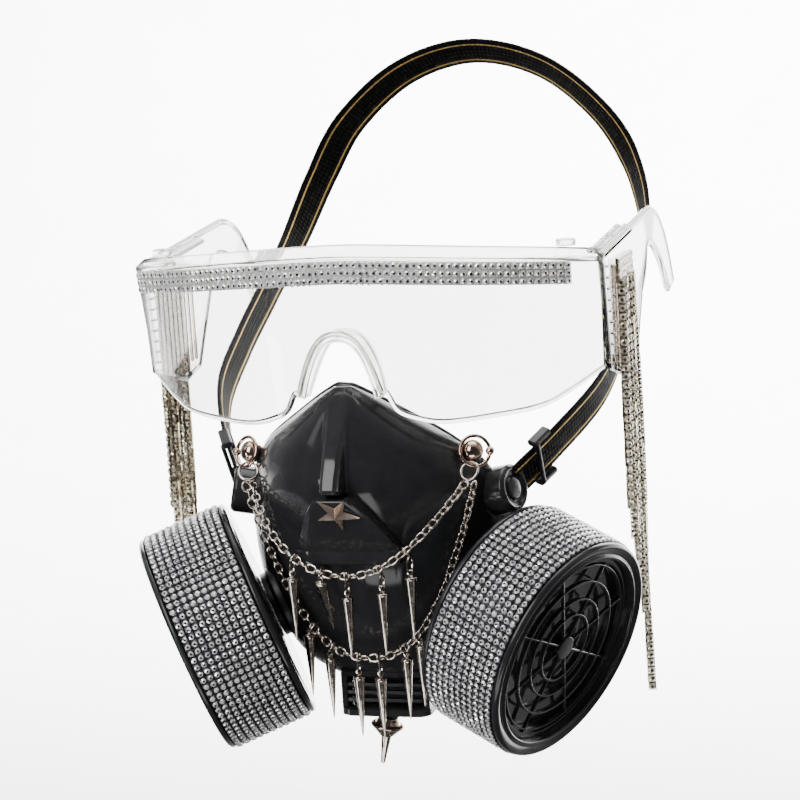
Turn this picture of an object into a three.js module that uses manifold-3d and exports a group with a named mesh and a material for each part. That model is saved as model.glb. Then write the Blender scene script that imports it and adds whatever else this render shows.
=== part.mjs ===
// Gas mask style costume mask: a half mask with two filter cartridges, safety goggles, chains and spikes.
// Millimetres, +Z up, the wearer looks along -Y. The origin is the bridge of the nose, on the rim of the mask.
import * as THREE from "three";
import { mergeVertices } from "three/addons/utils/BufferGeometryUtils.js";
import Module from "manifold-3d";

const wasm = await Module();
wasm.setup();

// Clearance between pieces that rest on each other
const GAP = 0.3;

// Face shell
const SHELL_HEIGHT = 119;
const SHELL_HALF = 51;
const SHELL_DEPTH = 40;
const NOSE_REACH = 26.5;
const SHELL_WALL = 2.5;
const RIDGE_REACH = 9.5;
const RIDGE_HALF = 5;
const RIDGE_TOP = 2;
const RIDGE_LOW = 0.283 * SHELL_HEIGHT;
const RIDGE_END = 4.5;
const SHELL_ROWS = 16;
const SHELL_COLUMNS = 20;

// Nose panel, a flared flat on the front of the shell
const PANEL_TOP = 0.311 * SHELL_HEIGHT;
const PANEL_HEIGHT = 0.227 * SHELL_HEIGHT;
const PANEL_TOP_HALF = 6;
const PANEL_LOW_HALF = 19.5;
const PANEL_TOP_FORWARD = NOSE_REACH - 1.5;
const PANEL_LOW_FORWARD = NOSE_REACH - 17;
const PANEL_LIP = 5;

// Vent housing under the chin
const VENT_HALF = 17.5;
const VENT_OVERLAP = 6;
const VENT_TOP = SHELL_HEIGHT - VENT_OVERLAP;
const VENT_HEIGHT = 18;
const VENT_FRONT = 0.906 * NOSE_REACH;
const VENT_DEPTH = 20;
const VENT_WALL = 2;
const VENT_SLOTS = 3;
const VENT_SLOT = 2.2;

// Filter cartridges
const CARTRIDGE_RADIUS = 43;
const CARTRIDGE_DEPTH = 36.5;
const CARTRIDGE_SIDE = SHELL_HALF + 24.4;
const CARTRIDGE_BACK = 0.41 * SHELL_DEPTH;
const CARTRIDGE_DOWN = 0.858 * SHELL_HEIGHT;
const CARTRIDGE_AXIS = new THREE.Vector3(0.867, -0.359, -0.346).normalize();
const RIM_LIP = 2.5;
const FLANGE = 3;
const BARREL_INSET = 1.6;
const SLEEVE_THICK = 2.3;
const RECESS_RADIUS = 37;
const RECESS_DEPTH = 7;
const GRILLE_DROP = 3.2;
const GRILLE_THICK = 1.8;
const GRILLE_BAR = 1.5;
const GRILLE_HUB = 4.6;
const GRILLE_RINGS = [0.36, 0.72];
const GRILLE_SPOKES = 8;
const PORT_RADIUS = 14;
const SIDES_ROUND = 24;

// Strap lugs and the elastic head strap
const LUG_RADIUS = 9;
const LUG_SIDE = SHELL_HALF + 0.5;
const LUG_BACK = 0.7 * SHELL_DEPTH;
const LUG_DOWN = 0.37 * SHELL_HEIGHT;
const LUG_AXIS = new THREE.Vector3(0.93, -0.28, 0.2).normalize();
const LUG_POCKET = 5;
const LUG_STEM = 22;
const LUG_FACE = 4.2;
const LUG_BEVEL = 1.4;
const STRAP_WIDTH = 15;
const STRAP_THICK = 1.5;
const STRAP_HALF = 79;
const STRAP_BACK = 203;
const STRAP_RISE = 110;
const STRAP_STEPS = 24;
const BUCKLE_AT = 0.93;
const BUCKLE_LENGTH = 10;
const BUCKLE_THICK = 4.4;
const BUCKLE_FRAME = 3;
const BUCKLE_SLACK = 0.6;

// Cheek studs, their rings and the jump rings
const STUD_SIDE = SHELL_HALF - 8.6;
const STUD_BACK = 0.39 * SHELL_DEPTH;
const STUD_DOWN = 0.228 * SHELL_HEIGHT;
const STUD_AXIS = new THREE.Vector3(0.7, -0.7, 0.1).normalize();
const STUD_BALL = 3.7;
const STUD_POST = 1.8;
const STUD_POST_LENGTH = 16;
const RING_RADIUS = 5.6;
const RING_WIRE = 0.55;
const RING_FORWARD = 2.1;
const RING_AXIS = new THREE.Vector3(0.5, -0.8, 0.33).normalize();
const RING_PULL = 25;
const JUMP_RADIUS = 3.45;
const JUMP_WIRE = 0.5;
const JUMP_TURN = 45;

// Chains, each a solid round form of its links
const CHAIN_RADIUS = 1.3;
const CHAIN_SIDES = 6;
const CHAIN_STEP = 7;
const CHAIN_KNOTS = 25;
const UPPER_DROP = 0.249 * SHELL_HEIGHT;
const UPPER_CLEAR = 1.8;
const LOWER_DROP = 0.558 * SHELL_HEIGHT;

// Spike drops
const SPIKE_LENGTH = 23.3;
const SPIKE_RADIUS = 2.2;
const SPIKE_LOOP = 2.1;
const SPIKE_WIRE = 0.4;
const SPIKE_SIDES = 6;

// Star and chin stud
const STAR_RADIUS = 8.4;
const STAR_HEIGHT = 3.2;
const STAR_WAIST = 0.36;
const STAR_SIDE = 1.6;
const STAR_DOWN = 5;
const STAR_TURN = -14;
const CHIN_NECK = 3.8;
const CHIN_FLANGE = 6.4;
const CHIN_SPIKE = 11.2;
const CHIN_TIP = 0.85;
const CHIN_LEAN = 11;

// Goggles
const GOGGLE_HALF = 90;
const GOGGLE_TOP = 47.5;
const GOGGLE_DROOP = 7;
const LENS_THICK = 2;
const LENS_FORWARD = 5;
const LENS_TOP_DEPTH = 37;
const LENS_LOW_DEPTH = 46;
const LENS_LOW_HALF = 88;
const LENS_CURVE = 2.3;
const LENS_LOW = 13;
const LEDGE_DEPTH = 13;
const LEDGE_RISE = 2.8;
const ARCH_HALF = 14.8;
const ARCH_TOP = 17;
const ARCH_LEG = 9;
const ARCH_THICK = 2.6;
const ARCH_DEPTH = 11;
const LENS_COLUMNS = 24;

// Goggle side arms
const ARM_THICK = 2.2;
const ARM_LENGTH = 86;
const ARM_RISE = 6;
const ARM_HOOK = 43;
const ARM_HOOK_DROP = 34;
const ARM_HEIGHT = 12;
const ARM_TIP = 9;
const SHIELD_LENGTH = 66;
const SHIELD_DROP = 50;
const SHIELD_HEEL = 15;
const SHIELD_TOE = 30;
const SHIELD_SLOTS = 8;
const FLANGE_WIDTH = 7;
const FLANGE_THICK = 2;
const FLANGE_START = 5;
const BOSS_RADIUS = 3.6;
const BOSS_HEIGHT = 2.4;

// Crystal strips and fringes
const STRIP_HEIGHT = 8.4;
const STRIP_THICK = 1.4;
const STRIP_COLUMNS = 28;
const STRIP_DOWN = 1.5;
const STRIP_LEFT = -0.97;
const STRIP_RIGHT = 0.88;
const ARM_STRIP_WIDTH = 5.6;
const ARM_STRIP_LENGTH = 46;
const FRINGE_STRANDS = 6;
const FRINGE_PITCH = 4.4;
const FRINGE_STRAND = 1.5;
const FRINGE_LENGTH = 170;
const FRINGE_HEAD = 9;
const FRINGE_START = 20;

const finish = (color, roughness, metalness, opacity = 1) =>
  new THREE.MeshStandardMaterial({ color, roughness, metalness, opacity, transparent: opacity < 1 });
const BLACK_PLASTIC = finish(0x0c0c0e, 0.18, 0);
const CLEAR_PLASTIC = finish(0xe6ebee, 0.05, 0, 0.3);
const NICKEL = finish(0xb9b2a8, 0.25, 1);
const BRONZE = finish(0x8c6a58, 0.3, 1);
const CRYSTAL = finish(0xc9cbcc, 0.15, 0.6);
const GOLD_CRYSTAL = finish(0xb7a377, 0.2, 0.7);
const ELASTIC = finish(0x14130f, 0.85, 0);

const vec = (x, y, z) => new THREE.Vector3(x, y, z);
const group = new THREE.Group();

// A body made from its corner points and triangles, with its faces pointing out.
function body(points, triangles) {
  const geometry = new THREE.BufferGeometry();
  geometry.setAttribute("position", new THREE.Float32BufferAttribute(points.flatMap((p) => [p.x, p.y, p.z]), 3));
  const volume = triangles.reduce((sum, [a, b, c]) => {
    return sum + points[a].dot(points[b].clone().cross(points[c]));
  }, 0);
  const turned = volume < 0 ? triangles.map(([a, b, c]) => [a, c, b]) : triangles;
  geometry.setIndex(turned.flat());
  return geometry;
}

// A wall between two grids of points that face each other, closed along its four edges.
function wallBetween(outer, inner) {
  const rows = outer.length;
  const columns = outer[0].length;
  const points = [...outer.flat(), ...inner.flat()];
  const at = (side, i, j) => side * rows * columns + i * columns + j;
  const triangles = [];
  const quad = (a, b, c, d) => triangles.push([a, b, c], [a, c, d]);
  for (let i = 0; i + 1 < rows; i += 1) {
    for (let j = 0; j + 1 < columns; j += 1) {
      quad(at(0, i, j), at(0, i, j + 1), at(0, i + 1, j + 1), at(0, i + 1, j));
      quad(at(1, i, j), at(1, i + 1, j), at(1, i + 1, j + 1), at(1, i, j + 1));
    }
    quad(at(0, i, 0), at(0, i + 1, 0), at(1, i + 1, 0), at(1, i, 0));
    quad(at(0, i + 1, columns - 1), at(0, i, columns - 1), at(1, i, columns - 1), at(1, i + 1, columns - 1));
  }
  for (let j = 0; j + 1 < columns; j += 1) {
    quad(at(0, 0, j + 1), at(0, 0, j), at(1, 0, j), at(1, 0, j + 1));
    quad(at(0, rows - 1, j), at(0, rows - 1, j + 1), at(1, rows - 1, j + 1), at(1, rows - 1, j));
  }
  return body(points, triangles);
}

// A closed body through a list of sections, each a ring of the same number of points.
function loft(sections) {
  const count = sections[0].length;
  const points = sections.flat();
  const triangles = [];
  for (let i = 0; i + 1 < sections.length; i += 1) {
    for (let j = 0; j < count; j += 1) {
      const k = (j + 1) % count;
      const a = i * count + j;
      const b = i * count + k;
      triangles.push([a, b, b + count], [a, b + count, a + count]);
    }
  }
  const centre = (ring) => ring.reduce((sum, p) => sum.add(p), vec(0, 0, 0)).divideScalar(count);
  const first = points.push(centre(sections[0])) - 1;
  const last = points.push(centre(sections[sections.length - 1])) - 1;
  const start = (sections.length - 1) * count;
  for (let j = 0; j < count; j += 1) {
    const k = (j + 1) % count;
    triangles.push([first, k, j], [last, start + j, start + k]);
  }
  return body(points, triangles);
}

// The same shape as a solid that can be cut and joined.
function solid(geometry) {
  const bare = geometry.clone();
  bare.deleteAttribute("normal");
  bare.deleteAttribute("uv");
  const merged = mergeVertices(bare, 1e-4);
  const vertProperties = new Float32Array(merged.attributes.position.array);
  const triVerts = new Uint32Array(merged.index.array);
  return new wasm.Manifold(new wasm.Mesh({ numProp: 3, vertProperties, triVerts }));
}

function shapeOf(manifold) {
  const mesh = manifold.getMesh();
  const geometry = new THREE.BufferGeometry();
  geometry.setAttribute("position", new THREE.BufferAttribute(new Float32Array(mesh.vertProperties), 3));
  geometry.setIndex(new THREE.BufferAttribute(new Uint32Array(mesh.triVerts), 1));
  return geometry;
}

const joined = (list) => shapeOf(list.map(solid).reduce((all, next) => all.add(next)));
const cut = (whole, tools) => shapeOf(tools.map(solid).reduce((rest, tool) => rest.subtract(tool), solid(whole)));

function mirrored(geometry) {
  const copy = mergeVertices(geometry.clone(), 1e-4);
  copy.applyMatrix4(new THREE.Matrix4().makeScale(-1, 1, 1));
  const index = Array.from(copy.index.array);
  for (let i = 0; i < index.length; i += 3) {
    [index[i + 1], index[i + 2]] = [index[i + 2], index[i + 1]];
  }
  copy.setIndex(index);
  return copy;
}

function add(name, geometry, material) {
  const mesh = new THREE.Mesh(geometry, material);
  mesh.name = name;
  group.add(mesh);
  return mesh;
}

// Both copies of a piece that the left and right sides share. X points to the wearer's left.
function addPair(name, geometry, material) {
  add(`${name}_left`, geometry, material);
  add(`${name}_right`, mirrored(geometry), material);
}

// Moves a shape made along +Z so that its origin is at a place and its +Z along a direction.
function placed(geometry, place, direction) {
  const turn = new THREE.Quaternion().setFromUnitVectors(vec(0, 0, 1), direction.clone().normalize());
  return geometry.clone().applyQuaternion(turn).translate(place.x, place.y, place.z);
}

// A turned body from its radius at each height, closed on the axis.
function turned(profile, sides = 16) {
  return new THREE.LatheGeometry(profile.map(([r, z]) => new THREE.Vector2(r, z)), sides).rotateX(Math.PI / 2);
}

// A ring of a rectangular section about Z.
function band(inner, outer, low, high, sides) {
  return turned([[inner, low], [outer, low], [outer, high], [inner, high], [inner, low]], sides);
}

// The value of a table's column at a share of the way, smoothly between its rows.
function between(table, key, column, share) {
  let i = table.findIndex((row) => row[key] >= share);
  if (i < 1) i = i === 0 ? 1 : table.length - 1;
  const [a, b] = [table[i - 1], table[i]];
  const before = table[Math.max(i - 2, 0)];
  const after = table[Math.min(i + 1, table.length - 1)];
  const width = b[key] - a[key];
  const slope = (from, to) => ((to[column] - from[column]) / (to[key] - from[key])) * width;
  const m0 = slope(before, b);
  const m1 = slope(a, after);
  const t = (share - a[key]) / width;
  const t2 = t * t;
  const t3 = t2 * t;
  return (2 * t3 - 3 * t2 + 1) * a[column] + (t3 - 2 * t2 + t) * m0
    + (3 * t2 - 2 * t3) * b[column] + (t3 - t2) * m1;
}

// Sections of the face shell. down is a share of its height and half of its half width. front is the
// middle's place as a share of the nose's reach, minus being ahead of the bridge. rim is the edge's place
// as a share of the depth. full is the section's power: low is pointed, 2 is round.
const SHELL_SECTIONS = [
  { down: 0.0, half: 0.07, front: -0.06, rim: 0.05, full: 1.9 },
  { down: 0.03, half: 0.19, front: -0.2, rim: 0.1, full: 1.8 },
  { down: 0.085, half: 0.38, front: -0.38, rim: 0.22, full: 1.7 },
  { down: 0.18, half: 0.68, front: -0.56, rim: 0.4, full: 1.6 },
  { down: 0.26, half: 0.84, front: -0.635, rim: 0.6, full: 1.52 },
  { down: 0.32, half: 0.91, front: -0.6, rim: 0.73, full: 1.5 },
  { down: 0.4, half: 0.965, front: -0.45, rim: 0.86, full: 1.5 },
  { down: 0.48, half: 0.99, front: -0.27, rim: 0.94, full: 1.5 },
  { down: 0.56, half: 1.0, front: -0.11, rim: 0.99, full: 1.47 },
  { down: 0.66, half: 0.97, front: 0.08, rim: 1.0, full: 1.45 },
  { down: 0.76, half: 0.9, front: 0.36, rim: 1.0, full: 1.48 },
  { down: 0.86, half: 0.78, front: 0.64, rim: 0.98, full: 1.6 },
  { down: 0.93, half: 0.62, front: 0.83, rim: 0.95, full: 1.8 },
  { down: 0.975, half: 0.42, front: 1.0, rim: 0.92, full: 1.9 },
  { down: 1.0, half: 0.26, front: 1.1, rim: 0.9, full: 2.0 },
];

function shellSection(share) {
  const value = (column) => between(SHELL_SECTIONS, "down", column, share);
  return {
    down: share * SHELL_HEIGHT,
    half: value("half") * SHELL_HALF,
    front: value("front") * NOSE_REACH,
    rim: value("rim") * SHELL_DEPTH,
    full: value("full"),
  };
}

// How far the nose ridge stands ahead of the shell, at a distance down it and off its middle.
function noseRidge(down, x) {
  const rise = THREE.MathUtils.smoothstep(down, RIDGE_TOP, RIDGE_LOW);
  const fall = THREE.MathUtils.smoothstep(down, RIDGE_LOW, RIDGE_LOW + RIDGE_END);
  return RIDGE_REACH * rise * (1 - fall) * Math.exp(-((Math.abs(x) / RIDGE_HALF) ** 3));
}

// A point of the shell's outer surface: turn runs from -1 at one edge over the ridge to 1 at the other.
function shellPoint(share, turn, grow = 0) {
  const section = shellSection(share);
  const angle = (Math.abs(turn) * Math.PI) / 2;
  const power = 2 / section.full;
  const front = section.front - grow * 1.15;
  const x = (section.half + grow) * Math.sign(turn) * Math.sin(angle) ** power;
  const y = section.rim - (section.rim - front) * Math.max(Math.cos(angle), 0) ** power;
  return vec(x, y - noseRidge(section.down, x), -section.down);
}

// The columns stand closer together by the ridge.
const shellTurn = (even) => Math.sign(even) * Math.abs(even) ** 1.3;

function shellGrid(grow) {
  return Array.from({ length: SHELL_ROWS + 1 }, (_, i) =>
    Array.from({ length: SHELL_COLUMNS + 1 }, (_, j) =>
      shellPoint(i / SHELL_ROWS, shellTurn((2 * j) / SHELL_COLUMNS - 1), grow)));
}

function faceShell() {
  return wallBetween(shellGrid(0), shellGrid(-SHELL_WALL));
}

// The shell's outer form as a filled block, larger all round by a clearance and open to no side.
function shellBlock(grow) {
  const sections = shellGrid(grow).map((row) => {
    const behind = row[0].y + SHELL_DEPTH;
    return [...row, vec(row[row.length - 1].x, behind, row[0].z), vec(row[0].x, behind, row[0].z)];
  });
  return loft(sections);
}
const SHELL_CUTTER = shellBlock(GAP);

const panelSlope = (PANEL_TOP_FORWARD - PANEL_LOW_FORWARD) / (PANEL_HEIGHT - PANEL_LIP);
const panelForward = (drop) => PANEL_TOP_FORWARD - panelSlope * Math.min(drop, PANEL_HEIGHT - PANEL_LIP);

// A flat that flares downwards and ends in an upright lip.
function nosePanel() {
  const levels = [0, PANEL_HEIGHT - PANEL_LIP, PANEL_HEIGHT];
  const sections = levels.map((drop) => {
    const share = Math.min(drop / (PANEL_HEIGHT - PANEL_LIP), 1);
    const half = PANEL_TOP_HALF + (PANEL_LOW_HALF - PANEL_TOP_HALF) * share;
    const bevel = half * 0.12;
    const front = -panelForward(drop);
    const z = -PANEL_TOP - drop;
    const back = SHELL_DEPTH / 2;
    return [vec(-half, back, z), vec(-half, front + bevel, z), vec(-half + bevel, front, z),
      vec(half - bevel, front, z), vec(half, front + bevel, z), vec(half, back, z)];
  });
  return cut(loft(sections), [SHELL_CUTTER]);
}

function roundedBlock(half, front, back, top, height, corner) {
  const shape = new THREE.Shape();
  shape.moveTo(-half, back);
  shape.lineTo(-half, front + corner);
  shape.absarc(-half + corner, front + corner, corner, Math.PI, 1.5 * Math.PI, false);
  shape.absarc(half - corner, front + corner, corner, 1.5 * Math.PI, 2 * Math.PI, false);
  shape.lineTo(half, back);
  shape.closePath();
  const block = new THREE.ExtrudeGeometry(shape, { depth: height, bevelEnabled: false, curveSegments: 4 });
  return block.translate(0, 0, top - height);
}

// A hollow block under the chin, open at the back, with slots across its front.
function ventHousing() {
  const back = VENT_FRONT + VENT_DEPTH;
  const outer = roundedBlock(VENT_HALF, VENT_FRONT, back, -VENT_TOP, VENT_HEIGHT, 4);
  const inner = roundedBlock(VENT_HALF - VENT_WALL, VENT_FRONT + VENT_WALL, back + 1, -VENT_TOP - VENT_WALL,
    VENT_HEIGHT - 2 * VENT_WALL, 3);
  const pitch = (VENT_HEIGHT - 2 * VENT_WALL) / VENT_SLOTS;
  const slots = Array.from({ length: VENT_SLOTS }, (_, i) => {
    const z = -VENT_TOP - VENT_WALL - pitch * (i + 0.5);
    return new THREE.BoxGeometry(2 * VENT_HALF - 10, 4 * VENT_WALL, VENT_SLOT).translate(0, VENT_FRONT, z);
  });
  return cut(outer, [inner, SHELL_CUTTER, ...slots]);
}

const cartridgeFace = vec(CARTRIDGE_SIDE, CARTRIDGE_BACK, -CARTRIDGE_DOWN);
const onCartridge = (geometry) => placed(geometry, cartridgeFace, CARTRIDGE_AXIS);

function cartridgeBody() {
  const rim = CARTRIDGE_RADIUS;
  const barrel = rim - BARREL_INSET;
  const back = -CARTRIDGE_DEPTH;
  const profile = [[0, back], [rim - 2, back], [rim, back + 1], [rim, back + FLANGE], [barrel, back + FLANGE],
    [barrel, -RIM_LIP], [rim, -RIM_LIP], [rim, -0.8], [rim - 1, 0], [RECESS_RADIUS + 1.5, 0],
    [RECESS_RADIUS, -1.5], [RECESS_RADIUS, -RECESS_DEPTH], [0, -RECESS_DEPTH]];
  return onCartridge(turned(profile, SIDES_ROUND));
}

function grille() {
  const outer = RECESS_RADIUS - GAP;
  const [low, high] = [-GRILLE_DROP - GRILLE_THICK, -GRILLE_DROP];
  const rings = GRILLE_RINGS.map((share) => {
    const radius = share * RECESS_RADIUS;
    return band(radius - GRILLE_BAR / 2, radius + GRILLE_BAR / 2, low, high, 12);
  });
  const frame = band(outer - 2, outer, low, high, 20);
  const hub = turned([[0, low], [GRILLE_HUB, low], [GRILLE_HUB, high], [0, high]], 10);
  const spokes = Array.from({ length: GRILLE_SPOKES / 2 }, (_, i) =>
    new THREE.BoxGeometry(2 * outer - 2, GRILLE_BAR, GRILLE_THICK)
      .translate(0, 0, (low + high) / 2)
      .rotateZ((i * 2 * Math.PI) / GRILLE_SPOKES));
  return onCartridge(joined([frame, ...rings, hub, ...spokes]));
}

function stoneSleeve() {
  const inner = CARTRIDGE_RADIUS - BARREL_INSET + GAP;
  const sleeve = band(inner, inner + SLEEVE_THICK, -CARTRIDGE_DEPTH + FLANGE + GAP, -RIM_LIP - GAP, SIDES_ROUND);
  return onCartridge(sleeve);
}

function filterPort() {
  const port = turned([[0, -2 * CARTRIDGE_DEPTH], [PORT_RADIUS, -2 * CARTRIDGE_DEPTH],
    [PORT_RADIUS, -CARTRIDGE_DEPTH - GAP], [0, -CARTRIDGE_DEPTH - GAP]], 24);
  return cut(onCartridge(port), [SHELL_CUTTER]);
}

const lugPlace = vec(LUG_SIDE, LUG_BACK, -LUG_DOWN);

// The strap's middle line. side, back and rise are shares of its half width, its reach behind the bridge
// and its height over the bridge.
const STRAP_ROUTE = [
  { way: 0.0, side: 0.68, back: 0.16, rise: -0.385 },
  { way: 0.1, side: 0.815, back: 0.25, rise: -0.29 },
  { way: 0.22, side: 0.965, back: 0.4, rise: -0.155 },
  { way: 0.34, side: 1.0, back: 0.56, rise: -0.02 },
  { way: 0.46, side: 1.0, back: 0.72, rise: 0.115 },
  { way: 0.58, side: 0.965, back: 0.885, rise: 0.29 },
  { way: 0.7, side: 0.86, back: 0.975, rise: 0.52 },
  { way: 0.8, side: 0.69, back: 0.99, rise: 0.72 },
  { way: 0.9, side: 0.38, back: 1.0, rise: 0.9 },
  { way: 1.0, side: 0.0, back: 1.0, rise: 0.97 },
  { way: 1.1, side: -0.38, back: 1.0, rise: 0.9 },
];

function strapPoint(share) {
  const way = 1 - Math.abs(share);
  const value = (column) => between(STRAP_ROUTE, "way", column, way);
  return vec(Math.sign(share) * value("side") * STRAP_HALF, value("back") * STRAP_BACK, value("rise") * STRAP_RISE);
}

// Directions at a point of the strap: along it, across its width and out of its face.
function strapFrame(share) {
  const step = 0.005;
  const along = strapPoint(Math.min(share + step, 1)).sub(strapPoint(Math.max(share - step, -1))).normalize();
  const hub = vec(0, STRAP_BACK / 2, 0);
  const away = strapPoint(share).sub(hub).normalize();
  const across = away.clone().cross(along).normalize();
  return { along, across, out: along.clone().cross(across).normalize() };
}

function strapCorner(share, sideways, outwards) {
  const { across, out } = strapFrame(share);
  return strapPoint(share).addScaledVector(across, sideways).addScaledVector(out, outwards);
}

function headStrap() {
  const grid = (outwards) => Array.from({ length: 2 * STRAP_STEPS + 1 }, (_, i) =>
    [-0.5, 0.5].map((side) => strapCorner(i / STRAP_STEPS - 1, side * STRAP_WIDTH, outwards)));
  return wallBetween(grid(STRAP_THICK / 2), grid(-STRAP_THICK / 2));
}

// A round boss on the cheek with a pocket that takes the end of the strap.
function strapLug() {
  const profile = [[0, -LUG_STEM], [LUG_RADIUS, -LUG_STEM], [LUG_RADIUS, LUG_FACE - LUG_BEVEL],
    [LUG_RADIUS - LUG_BEVEL, LUG_FACE], [0, LUG_FACE]];
  const boss = placed(turned(profile, 18), lugPlace, LUG_AXIS);
  const { along, across, out } = strapFrame(1);
  const pocket = new THREE.BoxGeometry(STRAP_WIDTH + 2 * GAP, STRAP_THICK + 2 * GAP, 4 * LUG_POCKET);
  const turn = new THREE.Matrix4().makeBasis(across, out, across.clone().cross(out));
  pocket.applyMatrix4(turn);
  const middle = strapPoint(1).addScaledVector(along, GAP - 2 * LUG_POCKET);
  pocket.translate(middle.x, middle.y, middle.z);
  return cut(boss, [SHELL_CUTTER, pocket]);
}

// A slide buckle round the strap, near the lug.
function strapBuckle() {
  const width = STRAP_WIDTH + 2 * BUCKLE_SLACK;
  const frame = new THREE.BoxGeometry(width + 2 * BUCKLE_FRAME, BUCKLE_THICK, BUCKLE_LENGTH);
  const slot = new THREE.BoxGeometry(width, STRAP_THICK + 2 * BUCKLE_SLACK, 2 * BUCKLE_LENGTH);
  const { across, out } = strapFrame(BUCKLE_AT);
  const turn = new THREE.Matrix4().makeBasis(across, out, across.clone().cross(out));
  const place = strapPoint(BUCKLE_AT);
  return cut(frame, [slot]).applyMatrix4(turn).translate(place.x, place.y, place.z);
}

const studPlace = vec(STUD_SIDE, STUD_BACK, -STUD_DOWN);

function cheekStud() {
  const ball = Array.from({ length: 5 }, (_, i) => {
    const angle = -0.33 * Math.PI + (i * 0.83 * Math.PI) / 4;
    return [Math.max(STUD_BALL * Math.cos(angle), 0), STUD_BALL * Math.sin(angle)];
  });
  ball[4][0] = 0;
  const profile = [[0, -STUD_POST_LENGTH], [STUD_POST, -STUD_POST_LENGTH], [STUD_POST, ball[0][1]], ...ball];
  return cut(placed(turned(profile, 12), studPlace, STUD_AXIS), [SHELL_CUTTER]);
}

const ringPlace = studPlace.clone().addScaledVector(STUD_AXIS, RING_FORWARD);
// Down in the ring's plane, pulled towards the middle by the chains.
const ringDown = vec(0, 0, -1).addScaledVector(RING_AXIS, RING_AXIS.z).normalize()
  .applyAxisAngle(RING_AXIS, THREE.MathUtils.degToRad(-RING_PULL));

// A ring round the stud's ball, with a small bead soldered on.
function studRing() {
  const ring = new THREE.TorusGeometry(RING_RADIUS, RING_WIRE, 4, 14);
  const bead = new THREE.SphereGeometry(1.6, 6, 4).translate(RING_RADIUS * 0.9, RING_RADIUS * 0.45, 0);
  return placed(joined([ring, bead]), ringPlace, RING_AXIS);
}

const jumpPlace = ringPlace.clone()
  .addScaledVector(ringDown, RING_RADIUS + JUMP_RADIUS - RING_WIRE - JUMP_WIRE - GAP);

// A jump ring that hangs in the stud's ring, turned out of its plane.
function jumpRing() {
  const axis = RING_AXIS.clone().applyAxisAngle(ringDown, THREE.MathUtils.degToRad(JUMP_TURN));
  return placed(new THREE.TorusGeometry(JUMP_RADIUS, JUMP_WIRE, 5, 14), jumpPlace, axis);
}

const chainTop = jumpPlace.z - JUMP_RADIUS - JUMP_WIRE - GAP;
const chainSide = jumpPlace.x;
const chainBack = jumpPlace.y;

// The chains' middle lines, from side -1 to 1: each falls from the jump rings, the upper one forward too,
// over the lip of the nose panel.
const upperForward = chainBack + PANEL_LOW_FORWARD + CHAIN_RADIUS + UPPER_CLEAR;
function upperChainPoint(side) {
  const s = Math.abs(side);
  return vec(side * (chainSide - CHAIN_RADIUS - GAP), chainBack - upperForward * (1 - s ** 4),
    chainTop - UPPER_DROP * (1 - s ** 2.05));
}

function lowerChainPoint(side) {
  const s = Math.abs(side);
  return vec(side * (chainSide + CHAIN_RADIUS + GAP), chainBack, chainTop - LOWER_DROP * (1 - s ** 2.4));
}

function chainForm(point, drop) {
  const knots = Array.from({ length: CHAIN_KNOTS }, (_, i) => point((2 * i) / (CHAIN_KNOTS - 1) - 1));
  const path = new THREE.CatmullRomCurve3(knots);
  const section = new THREE.Shape();
  for (let i = 0; i < CHAIN_SIDES; i += 1) {
    const angle = (i * 2 * Math.PI) / CHAIN_SIDES;
    const corner = [CHAIN_RADIUS * Math.cos(angle), CHAIN_RADIUS * Math.sin(angle)];
    if (i === 0) section.moveTo(...corner);
    else section.lineTo(...corner);
  }
  section.closePath();
  const steps = Math.round((2 * chainSide + 2 * drop) / CHAIN_STEP);
  return new THREE.ExtrudeGeometry(section, { steps, bevelEnabled: false, extrudePath: path });
}

// The share of the way at which a chain passes a distance from the middle.
const sideOf = (point, x) => x / point(1).x;

// Where each spike hangs: its distance off the middle, how far its cone starts under the chain's loop and
// how many degrees it swings back.
const UPPER_SPIKES = [
  { side: -19.2, neck: 5.6, back: 0 },
  { side: -8.8, neck: 1.8, back: 28 },
  { side: 0.6, neck: 5.5, back: 0 },
  { side: 12.9, neck: 6.8, back: 0 },
  { side: 22.7, neck: 7.8, back: 0 },
];
const LOWER_SPIKES = [
  { side: -21.3, neck: 1.8, back: 0 },
  { side: -14.1, neck: 2.6, back: 0 },
  { side: -4.3, neck: 5, back: 0 },
  { side: 3.6, neck: 5.4, back: 0 },
  { side: 13.2, neck: 1.8, back: 0 },
  { side: 18.6, neck: 1.8, back: 0 },
];

// A cone with a neck, and a loop that goes round the chain.
function spikeDrop(point, share, neck, back) {
  const place = point(share);
  const step = 0.01;
  const along = point(share + step).sub(point(share - step)).normalize();
  const hang = vec(0, 0, -1).addScaledVector(along, along.z).setLength(SPIKE_LOOP);
  const profile = [[0, -neck - SPIKE_LENGTH], [SPIKE_RADIUS, -neck], [SPIKE_WIRE, 1 - neck], [SPIKE_WIRE, 0],
    [0, 0]];
  const cone = turned(profile, SPIKE_SIDES).rotateX(THREE.MathUtils.degToRad(back)).translate(hang.x, hang.y, hang.z);
  const loop = new THREE.TorusGeometry(SPIKE_LOOP, SPIKE_WIRE, 4, 9);
  loop.applyQuaternion(new THREE.Quaternion().setFromUnitVectors(vec(0, 0, 1), along));
  return joined([cone, loop]).translate(place.x, place.y, place.z);
}

function addSpikes(name, point, spikes) {
  spikes.forEach(({ side, neck, back }, i) => {
    add(`${name}_spike_${i + 1}`, spikeDrop(point, sideOf(point, side), neck, back), NICKEL);
  });
}

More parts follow.
